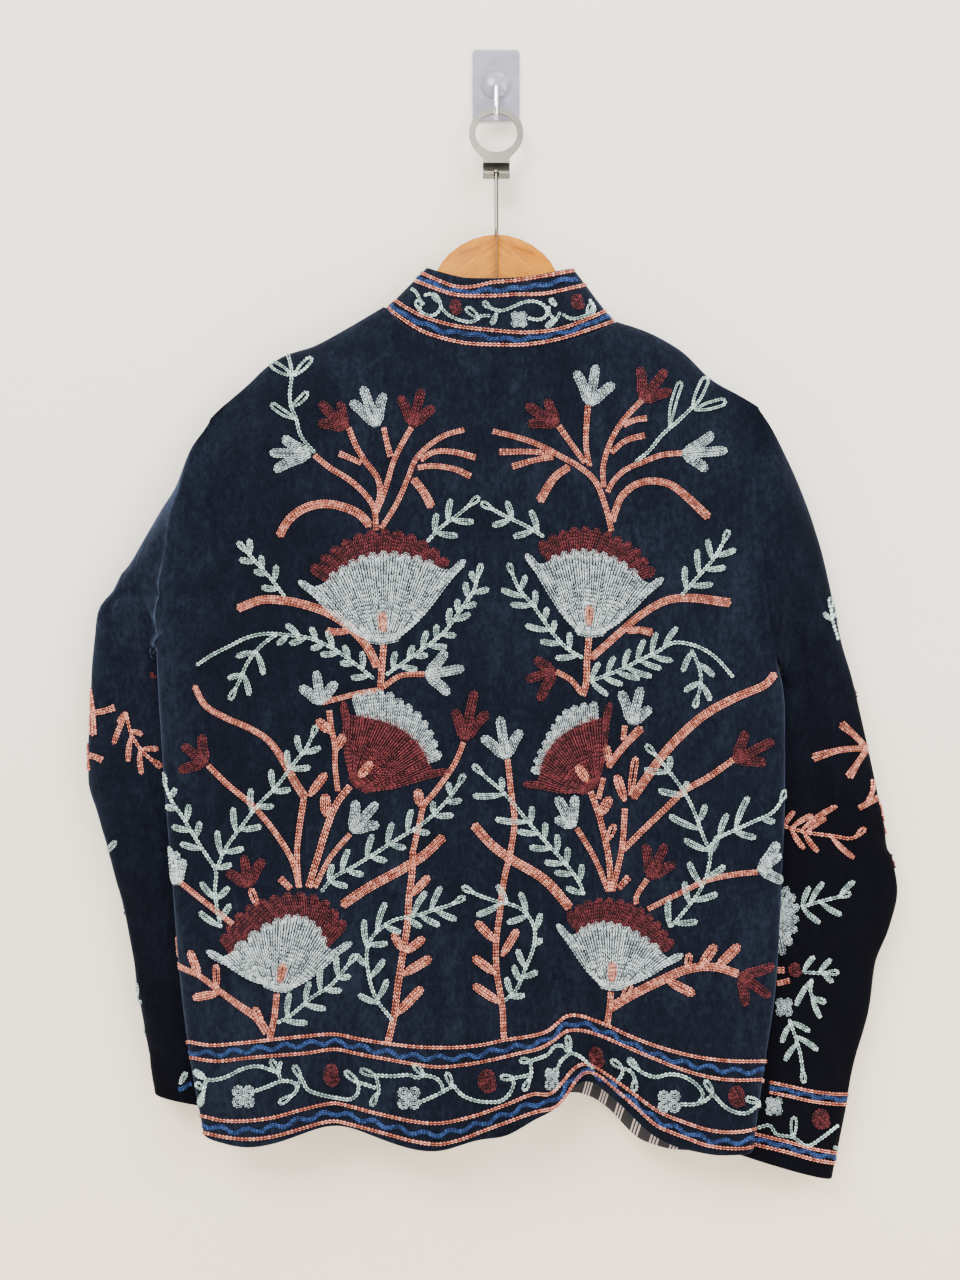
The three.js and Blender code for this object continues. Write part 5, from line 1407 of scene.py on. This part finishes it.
edging("front_left", -1, 62)
edging("front_right", -1, 62)
for panel in ("sleeve_left_wall", "sleeve_right_wall"):
    edging(panel, -1, 38, 12)
for panel, points in (("sleeve_left_wall", "140,560 128,700 118,840 128,960"), ("sleeve_right_wall", "842,600 858,720 850,860 820,980")):
    spray(panel, "salmon", points, "", 7, stalk=4.2)
    for n, (x, y) in enumerate(curve(P(points))[20::62]):
        tulip(panel, ("grey", "burgundy")[n % 2], (x, y), [(x - 22, y - 20), (x - 3, y - 34), (x + 18, y - 24)])
for panel in ("collar_left", "collar_right"):
    tall = surfaces[panel].uv[-1, :, 1].mean() - surfaces[panel].uv[0, :, 1].mean()
    for up, kind in ((5, "salmon"), (10, "blue"), (15, "salmon")):
        line = edge_line(panel, -1, up)
        plain(panel, "salmon", line, 3.8) if kind == "salmon" else wave(panel, "blue", line, height=1.4, wide=2.6)


# ---------------------------------------------------------------- materials
class Nodes:
    """A material being built: short calls for its nodes."""

    def __init__(self, name):
        self.mat = bpy.data.materials.new(name)
        self.mat.use_nodes = True
        self.tree = self.mat.node_tree
        self.shader = self.tree.nodes["Principled BSDF"]
        self.output = self.tree.nodes["Material Output"]
        self.place = self.tree.nodes.new("ShaderNodeTexCoord").outputs["Object"]

    def put(self, **values):
        """Sets the shader's own sockets: numbers and colours as they are, links as links."""
        for key, value in values.items():
            socket = self.shader.inputs[key.replace("_", " ")]
            if isinstance(value, bpy.types.NodeSocket):
                self.tree.links.new(value, socket)
            elif hasattr(value, "__len__") and len(value) == 3 and len(socket.default_value) == 4:
                socket.default_value = (*value, 1)
            else:
                socket.default_value = value
        return self

    def feed(self, socket, value):
        if isinstance(value, bpy.types.NodeSocket):
            self.tree.links.new(value, socket)
        elif hasattr(value, "__len__") and len(value) == 3 and len(socket.default_value) == 4:
            socket.default_value = (*value, 1)
        else:
            socket.default_value = value

    def math(self, kind, a, b=0.0, c=0.0, clamp=False):
        n = self.tree.nodes.new("ShaderNodeMath")
        n.operation, n.use_clamp = kind, clamp
        for socket, value in zip(n.inputs, (a, b, c)):
            self.feed(socket, value)
        return n.outputs[0]

    def axes(self, vector=None):
        n = self.tree.nodes.new("ShaderNodeSeparateXYZ")
        self.feed(n.inputs[0], self.place if vector is None else vector)
        return n.outputs

    def vector(self, x, y, z):
        n = self.tree.nodes.new("ShaderNodeCombineXYZ")
        for socket, value in zip(n.inputs, (x, y, z)):
            self.feed(socket, value)
        return n.outputs[0]

    def stretch(self, scale, vector=None):
        n = self.tree.nodes.new("ShaderNodeMapping")
        self.feed(n.inputs["Vector"], self.place if vector is None else vector)
        n.inputs["Scale"].default_value = scale
        return n.outputs[0]

    def noise(self, scale, detail=3.0, rough=0.55, vector=None, bend=0.0, kind="FBM"):
        n = self.tree.nodes.new("ShaderNodeTexNoise")
        n.noise_type = kind
        self.feed(n.inputs["Vector"], self.place if vector is None else vector)
        for key, value in (("Scale", scale), ("Detail", detail), ("Roughness", rough), ("Distortion", bend)):
            n.inputs[key].default_value = value
        return n.outputs["Fac"]

    def cells(self, scale, vector=None, feature="F1", output="Distance"):
        n = self.tree.nodes.new("ShaderNodeTexVoronoi")
        n.feature = feature
        self.feed(n.inputs["Vector"], self.place if vector is None else vector)
        n.inputs["Scale"].default_value = scale
        return n.outputs[output]

    def ramp(self, fac, stops, sharp=False):
        n = self.tree.nodes.new("ShaderNodeValToRGB")
        n.color_ramp.interpolation = "CONSTANT" if sharp else "LINEAR"
        elements = n.color_ramp.elements
        while len(elements) < len(stops):
            elements.new(0.5)
        for element, (at, colour) in zip(elements, stops):
            element.position = at
            element.color = (*colour, 1) if hasattr(colour, "__len__") else (colour, colour, colour, 1)
        self.feed(n.inputs["Fac"], fac)
        return n.outputs["Color"]

    def mix(self, fac, a, b, kind="MIX"):
        n = self.tree.nodes.new("ShaderNodeMix")
        n.data_type, n.blend_type = "RGBA", kind
        self.feed(n.inputs[0], fac)
        self.feed(n.inputs[6], a)
        self.feed(n.inputs[7], b)
        return n.outputs[2]

    def span(self, value, lo, hi, to_lo, to_hi):
        n = self.tree.nodes.new("ShaderNodeMapRange")
        for socket, v in zip(n.inputs, (value, lo, hi, to_lo, to_hi)):
            self.feed(socket, v)
        return n.outputs[0]

    def bump(self, height, strength, distance, under=None):
        n = self.tree.nodes.new("ShaderNodeBump")
        n.inputs["Strength"].default_value = strength
        n.inputs["Distance"].default_value = distance
        self.feed(n.inputs["Height"], height)
        if under is not None:
            self.feed(n.inputs["Normal"], under)
        return n.outputs[0]


def velvet_material(name="velvet", low=None, painted_sheen=1.0):
    # the last two arguments: the height span over which a sleeve is darkened as painted shade, and a scale on the sheen
    # as painted light or shade
    m = Nodes(name)
    # nap: pile lying a little one way and another in broad patches, rubbed marks and streaks
    broad = m.noise(7.5, 4, 0.62, m.stretch((1.0, 1.0, 0.55)), 0.9)
    marks = m.noise(48, 4, 0.66, m.stretch((1.0, 1.0, 0.45)), 1.1)
    crush = m.noise(300, 3, 0.72, m.stretch((1.0, 1.0, 0.6)))
    pile = m.noise(1300, 2, 0.6)
    nap = m.math("ADD", m.math("MULTIPLY", broad, 0.30), m.math("MULTIPLY", marks, 0.30))
    nap = m.math("ADD", nap, m.math("MULTIPLY", crush, 0.40))
    dark, mid, light = (0.0009, 0.0013, 0.0036), (0.0022, 0.0032, 0.0078), (0.0075, 0.0102, 0.0190)
    colour = m.ramp(nap, ((0.42, dark), (0.50, mid), (0.61, light)))
    colour = m.mix(m.span(pile, 0.42, 0.66, 0.0, 0.45), colour, (0.0075, 0.0110, 0.0190))
    # the sheen is scaled per sleeve: turned up as painted light on the lit left sleeve, down as painted shade on the
    # right
    weight = m.span(nap, 0.41, 0.62, 0.09 * painted_sheen, 0.24 * painted_sheen)
    if low is not None:
        # painted shade: towards its lower end the sleeve's colour darkens and its sheen fades, as it hangs in its own
        # shade
        x, y, z = m.axes()
        drop = m.span(z, low[0], low[1], 0.0, 1.0)
        colour = m.mix(drop, colour, m.mix(0.85, colour, (0.0007, 0.0006, 0.0018)))
        weight = m.math("MULTIPLY", weight, m.span(drop, 0.0, 1.0, 1.0, 0.10))
    soft = m.bump(pile, 0.35, 0.0006)
    normal = m.bump(m.math("ADD", m.math("MULTIPLY", marks, 0.6), m.math("MULTIPLY", crush, 0.4)), 0.55, 0.0022, soft)
    m.put(Base_Color=colour, Roughness=m.span(nap, 0.3, 0.7, 0.80, 0.95), Normal=normal,
          Specular_IOR_Level=0.05, Sheen_Weight=weight, Sheen_Roughness=0.42, Sheen_Tint=(0.32, 0.45, 0.78))
    return m.mat


def thread_material(name, deep, colour, painted_highlight):
    """Yarn: painted shade between the links, a painted highlight where a leg stands out, each link a little its own."""
    m = Nodes(name)

    def own(attribute):
        n = m.tree.nodes.new("ShaderNodeAttribute")
        n.attribute_name = attribute
        return n.outputs["Fac"]

    painted_light, tone = own("painted_light"), own("tone")
    strands = m.noise(900, 3, 0.7, bend=0.4)
    lit = m.math("ADD", painted_light, m.math("MULTIPLY", m.math("SUBTRACT", tone, 0.5), 0.60))
    lit = m.math("ADD", lit, m.math("MULTIPLY", m.math("SUBTRACT", strands, 0.5), 0.5), clamp=True)
    # the ramp paints shade in the crevices and a highlight on the legs' tops
    mixed = m.ramp(lit, ((0.12, deep), (0.51, colour), (0.93, painted_highlight)))
    m.put(Base_Color=mixed, Roughness=m.span(strands, 0.3, 0.7, 0.52, 0.74), Specular_IOR_Level=0.25,
          Sheen_Weight=0.15, Sheen_Roughness=0.45, Sheen_Tint=tuple(min(1.0, c * 1.3 + 0.1) for c in painted_highlight),
          Normal=m.bump(strands, 0.5, 0.00035))
    return m.mat


def facing_material():
    m = Nodes("striped_facing")
    x, y, z = m.axes()
    wander = m.math("MULTIPLY", m.noise(70, 2), 0.0012)
    across = m.math("ADD", m.math("ADD", x, m.math("MULTIPLY", z, -0.32)), wander)
    turn = m.math("FRACT", m.math("MULTIPLY", across, 1 / 0.0166))
    black, pale = (0.010, 0.011, 0.014), (0.62, 0.50, 0.48)
    stops = [(0.0, black), (0.22, pale), (0.305, black), (0.385, pale), (0.47, black), (0.55, pale), (0.635, black)]
    stripes = m.ramp(turn, stops, True)
    weave = m.noise(1100, 2, 0.6)
    colour = m.mix(m.span(weave, 0.3, 0.7, 0.0, 0.30), stripes, (0.12, 0.11, 0.11))
    m.put(Base_Color=colour, Roughness=m.span(weave, 0.3, 0.7, 0.72, 0.9), Specular_IOR_Level=0.2,
          Sheen_Weight=0.1, Normal=m.bump(weave, 0.4, 0.0003))
    return m.mat


def wood_material(joint=0.0):
    m = Nodes("hanger_wood")
    x, y, z = m.axes()
    off = m.math("SUBTRACT", x, joint)
    away = m.math("ABSOLUTE", off)
    # grain runs down and away from the joint in the middle
    along_grain = m.math("SUBTRACT", m.math("MULTIPLY", away, 0.80), m.math("MULTIPLY", z, 0.60))
    over_grain = m.math("ADD", m.math("MULTIPLY", away, 0.60), m.math("MULTIPLY", z, 0.80))
    flow = m.vector(m.math("MULTIPLY", along_grain, 0.10), m.math("MULTIPLY", y, 0.8), over_grain)
    bands = m.noise(120, 4, 0.6, flow, 1.2)
    fibres = m.noise(900, 3, 0.7, flow)
    grain = m.math("ADD", m.math("MULTIPLY", bands, 0.7), m.math("MULTIPLY", fibres, 0.3))
    colour = m.ramp(grain, ((0.32, (0.22, 0.060, 0.000)), (0.47, (0.39, 0.130, 0.000)), (0.60, (0.49, 0.185, 0.000)),
                            (0.75, (0.33, 0.105, 0.000))))
    line = m.span(away, 0.0002, 0.0009, 0.55, 0.0)
    colour = m.mix(line, colour, (0.22, 0.09, 0.03))
    m.put(Base_Color=colour, Roughness=m.span(bands, 0.3, 0.7, 0.34, 0.48), Coat_Weight=0.05, Coat_Roughness=0.30,
          Specular_IOR_Level=0.14, Normal=m.bump(grain, 0.22, 0.0006))
    return m.mat


def metal_material(name, colour, rough, swing, streak):
    m = Nodes(name)
    brushed = m.noise(streak, 3, 0.7, m.stretch((0.12, 1.0, 1.0)))
    dull = m.noise(60, 3, 0.6)
    shade = m.mix(m.span(dull, 0.35, 0.7, 0.0, 0.35), colour, tuple(c * 0.72 for c in colour))
    m.put(Base_Color=shade, Metallic=1.0,
          Roughness=m.span(m.math("ADD", m.math("MULTIPLY", brushed, 0.6), m.math("MULTIPLY", dull, 0.4)),
                           0.3, 0.7, rough - swing, rough + swing),
          Normal=m.bump(brushed, 0.10, 0.0002))
    return m.mat


def plastic_material():
    m = Nodes("clear_plastic")
    cloud = m.noise(70, 3, 0.6)
    fine = m.noise(420, 2, 0.5)
    colour = m.ramp(cloud, ((0.3, (0.27, 0.265, 0.36)), (0.7, (0.37, 0.365, 0.46))))
    m.put(Base_Color=colour, Roughness=m.span(fine, 0.3, 0.7, 0.10, 0.20), Specular_IOR_Level=0.7,
          Coat_Weight=0.6, Coat_Roughness=0.06, Alpha=m.span(cloud, 0.3, 0.7, 0.58, 0.70),
          Normal=m.bump(fine, 0.08, 0.0003))
    return m.mat


def wall_material():
    m = Nodes("wall_paint")
    cloud = m.noise(1.1, 3, 0.5)
    patch = m.noise(4.2, 4, 0.6)
    grain = m.noise(260, 3, 0.6)
    colour = m.ramp(cloud, ((0.3, (0.870, 0.810, 0.705)), (0.7, (0.900, 0.855, 0.770))))
    colour = m.mix(m.span(patch, 0.52, 0.72, 0.0, 0.35), colour, (0.88, 0.80, 0.63))
    x, y, z = m.axes()
    colour = m.mix(m.span(z, -0.45, -1.15, 0.0, 0.75), colour, (0.97, 0.800, 0.590))
    m.put(Base_Color=colour, Roughness=m.span(patch, 0.3, 0.7, 0.55, 0.68), Specular_IOR_Level=0.25,
          Normal=m.bump(grain, 0.06, 0.0008))
    # seen from behind the wall isn't there, so the back of the object stays in view
    behind = m.tree.nodes.new("ShaderNodeNewGeometry").outputs["Backfacing"]
    clear = m.tree.nodes.new("ShaderNodeBsdfTransparent").outputs[0]
    both = m.tree.nodes.new("ShaderNodeMixShader")
    m.tree.links.new(behind, both.inputs[0])
    m.tree.links.new(m.shader.outputs[0], both.inputs[1])
    m.tree.links.new(clear, both.inputs[2])
    m.tree.links.new(both.outputs[0], m.output.inputs["Surface"])
    return m.mat


def floor_material():
    m = Nodes("floor_paint")
    cloud = m.noise(2.0, 4, 0.55)
    grain = m.noise(180, 3, 0.6)
    m.put(Base_Color=m.ramp(cloud, ((0.3, (0.60, 0.575, 0.53)), (0.7, (0.68, 0.655, 0.61)))),
          Roughness=m.span(grain, 0.3, 0.7, 0.5, 0.7), Specular_IOR_Level=0.3, Normal=m.bump(grain, 0.08, 0.001))
    return m.mat


velvet = velvet_material()
# the sleeves get copies of the velvet with painted light and shade: the left sleeve's sheen turned up, the right's
# turned down, both darkened towards their lower ends
velvet_left_painted_shading = velvet_material("velvet_sleeve_left_painted_shading", (-0.52, -0.86), 1.75)
velvet_right_painted_shading = velvet_material("velvet_sleeve_right_painted_shading", (-0.36, -0.64), 0.55)
# each thread: the colour painted as shade between the links, its own colour, and the colour painted as a highlight on
# the tops
threads = {
    "salmon": thread_material("thread_salmon", (0.150, 0.024, 0.012), (0.590, 0.185, 0.118), (0.950, 0.460, 0.345)),
    "mint": thread_material("thread_mint", (0.075, 0.120, 0.118), (0.400, 0.560, 0.520), (0.720, 0.880, 0.830)),
    "grey": thread_material("thread_grey", (0.052, 0.070, 0.082), (0.345, 0.420, 0.435), (0.690, 0.780, 0.790)),
    "burgundy": thread_material("thread_burgundy", (0.011, 0.0011, 0.0018), (0.066, 0.0068, 0.0100), (0.190, 0.030, 0.038)),
    "blue": thread_material("thread_blue", (0.0018, 0.005, 0.028), (0.0115, 0.040, 0.160), (0.050, 0.115, 0.330)),
}
striped = facing_material()
wood = wood_material()
glue = Nodes("glue_line")
glue.put(Base_Color=glue.ramp(glue.noise(300, 2), ((0.3, (0.14, 0.045, 0.004)), (0.7, (0.22, 0.085, 0.012)))),
         Roughness=glue.span(glue.noise(900, 2), 0.3, 0.7, 0.5, 0.7))
glue = glue.mat
steel = metal_material("steel", (0.175, 0.170, 0.150), 0.30, 0.09, 900)
chrome = metal_material("chrome_wire", (0.78, 0.78, 0.80), 0.12, 0.05, 500)
plastic = plastic_material()


# ---------------------------------------------------------------- the jacket's pieces
pieces = {}


def cloth(node, grid, normals, flat, area, on, loop=False, material=None, thick=CLOTH, slot="velvet"):
    ob = shell(node + "_cloth", grid, normals, thick, material or velvet, loop)
    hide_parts(node)
    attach(ob, "root")
    pieces[node] = (ob, flat, area, on)
    print("cloth", node, "half surface", round(half_area(ob), 4), "stated", area or flat[0] * flat[1], len(ob.data.polygons))
    return ob


ARMS = ["hanger_arm_left", "hanger_arm_right"]
cloth("back", back_grid, back_normals, (0.56, 0.70), 0.330, ARMS)
cloth("front_left", *front_grids["left"], (0.30, 0.70), 0.173, ["hanger_arm_left"])
cloth("front_right", *front_grids["right"], (0.27, 0.70), 0.159, ["hanger_arm_right"])
cloth("sleeve_left", *sleeve_grids["left"], (0.34, 0.50), 0.115, ["back", "front_left"], loop=True,
      material=velvet_left_painted_shading)
cloth("sleeve_right", *sleeve_grids["right"], (0.34, 0.56), 0.134, ["back", "front_right"], loop=True,
      material=velvet_right_painted_shading)
cloth("collar", collar, collar_normals, (0.48, 0.060), 0.0245, ["back", "front_left", "front_right"])
cloth("hem_facing", facing_grid, fn, (0.095, 0.040), 0.0036, ["front_right"], material=striped,
      thick=FACING, slot="striped_facing")

stitches = {}
total = 0
for panel in rows_of:
    for colour, (points, faces, painted_light, tone) in sorted(stitch(panel).items()):
        ob = mesh_object("chain_" + panel + "_" + colour, points, faces, threads[colour])
        # the links' painted light (shade in the crevices, highlight on top) and their random tone go on as point
        # attributes
        for kind, values in (("painted_light", painted_light), ("tone", tone)):
            if len(ob.data.vertices) == len(values):
                ob.data.attributes.new(kind, "FLOAT", "POINT").data.foreach_set("value", np.asarray(values, np.float32))
            else:
                print("vertices lost in", ob.name)
        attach(ob, "root")
        stitches.setdefault(panel.replace("_wall", ""), []).append(ob)
        total += len(faces)
        if len(faces) > 195000:
            raise SystemExit("too many triangles in " + ob.name)
        print("stitches", ob.name, len(faces))
print("stitch triangles", total)

for node, (ob, flat, area, on) in pieces.items():
    with_it = stitches.get(node, [])
    if node == "collar":
        with_it = with_it + stitches.get("collar_left", []) + stitches.get("collar_right", [])

# ---------------------------------------------------------------- hanger and hook
for node, material in (("hanger_arm_left", wood), ("hanger_arm_right", wood), ("hanger_ring", steel),
                       ("hanger_rod", steel), ("hook_wire", chrome), ("hook_plate", plastic)):
    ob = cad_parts[node]
    ob.data.materials.clear()
    ob.data.materials.append(material)


def corners_of(name):
    """A node's box in millimetres, from its own points."""
    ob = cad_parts[name]
    p = np.array([ob.matrix_world @ v.co for v in ob.data.vertices]) * 1000
    return p.min(0), p.max(0), p


def block(name, low, high, material):
    (x0, y0, z0), (x1, y1, z1) = low, high
    points = np.array([(x, y, z) for z in (z0, z1) for x, y in ((x0, y0), (x1, y0), (x1, y1), (x0, y1))], float)
    faces = [(3, 2, 1, 0), (4, 5, 6, 7), (0, 1, 5, 4), (1, 2, 6, 5), (2, 3, 7, 6), (3, 0, 4, 7)]
    ob = mesh_object(name, points, faces, material, soft=False)
    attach(ob, "root")
    return ob


# the glue between the hanger's two halves, a little below their faces
al, ah, ap = corners_of("hanger_arm_left")
bl, bh, bp = corners_of("hanger_arm_right")
seam_x0, seam_x1 = min(ah[0], bh[0]), max(al[0], bl[0])
near = ap[ap[:, 0] > ah[0] - 0.5] if ah[0] < bh[0] else bp[bp[:, 0] > bh[0] - 0.5]
print("joint", seam_x0, seam_x1, near.min(0), near.max(0))
block("hanger_glue", (seam_x0 - 0.15, near[:, 1].min() + 0.5, near[:, 2].min() + 1.0),
      (seam_x1 + 0.15, near[:, 1].max() - 0.5, near[:, 2].max() - 0.35), glue)

# the rod's end goes on into the wood
rl, rh, rp = corners_of("hanger_rod")
foot_of = rp[rp[:, 2] < rl[2] + 0.6]
(axis_x, axis_y), rod_r = (foot_of.min(0)[:2] + foot_of.max(0)[:2]) / 2, np.ptp(foot_of[:, 0]) / 2
turn = np.arange(20) * math.pi / 10
ring_points = np.stack([axis_x + rod_r * 0.985 * np.cos(turn), axis_y + rod_r * 0.985 * np.sin(turn)], 1)
rod_points = [(x, y, rl[2] + 1.0) for x, y in ring_points] + [(x, y, near[:, 2].max() - 3.0) for x, y in ring_points]
rod_faces = []
for k in range(20):
    n = (k + 1) % 20
    rod_faces += [(k, 20 + n, 20 + k), (k, n, 20 + n)]
    if 0 < k < 19:
        rod_faces += [(0, k, k + 1), (20, 21 + k, 20 + k)]
if rl[2] + 1.0 > near[:, 2].max() - 3.0:  # wind the faces outwards
    rod_faces = [f[::-1] for f in rod_faces]
rod_end = mesh_object("hanger_rod_end", np.array(rod_points), rod_faces, steel, soft=False)
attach(rod_end, "root")
print("rod", axis_x, axis_y, rod_r)

# ---------------------------------------------------------------- room and light
def plane(name, corners, material):
    ob = mesh_object(name, np.array(corners, float), [(0, 1, 2, 3)], material, soft=False)
    return ob


wall = plane("wall", [(-2600, 0.6, -1400), (2600, 0.6, -1400), (2600, 0.6, 1500), (-2600, 0.6, 1500)], wall_material())
wall.visible_shadow = False  # the lamp behind it lights the fronts for views from behind
plane("floor", [(-2600, -3600, -1400), (2600, -3600, -1400), (2600, 2600, -1400), (-2600, 2600, -1400)], floor_material())


def lamp(name, place, aim, size, power, colour=(1, 1, 1)):
    data = bpy.data.lights.new(name, "AREA")
    data.shape = "RECTANGLE"
    data.size, data.size_y = size
    data.energy = power
    data.color = colour
    ob = bpy.data.objects.new(name, data)
    ob.location = place
    way = np.array(aim, float) - np.array(place, float)
    ob.rotation_euler = mathutils.Vector(way).to_track_quat("-Z", "Y").to_euler()
    bpy.context.collection.objects.link(ob)
    return ob


lamp("key", (-0.9, -2.3, 1.15), (0.0, 0.0, -0.45), (1.6, 1.1), 118, (1.0, 0.975, 0.94))
lamp("fill", (1.5, -1.9, 0.35), (0.0, 0.0, -0.5), (1.4, 1.4), 48, (0.98, 0.985, 1.0))
lamp("top", (0.1, -0.8, 1.6), (0.0, -0.1, -0.3), (1.6, 0.8), 27, (1.0, 0.98, 0.95))
lamp("low", (0.5, -1.9, -1.15), (0.1, 0.0, -0.95), (1.8, 0.6), 27, (1.0, 0.94, 0.86))
lamp("back", (0.2, 2.2, 0.3), (0.0, 0.0, -0.5), (1.8, 1.6), 30, (1.0, 0.98, 0.95))

world = bpy.data.worlds.new("room")
bpy.context.scene.world = world
world.use_nodes = True
background = world.node_tree.nodes["Background"]
background.inputs["Color"].default_value = (0.95, 0.94, 0.92, 1)
background.inputs["Strength"].default_value = 0.98
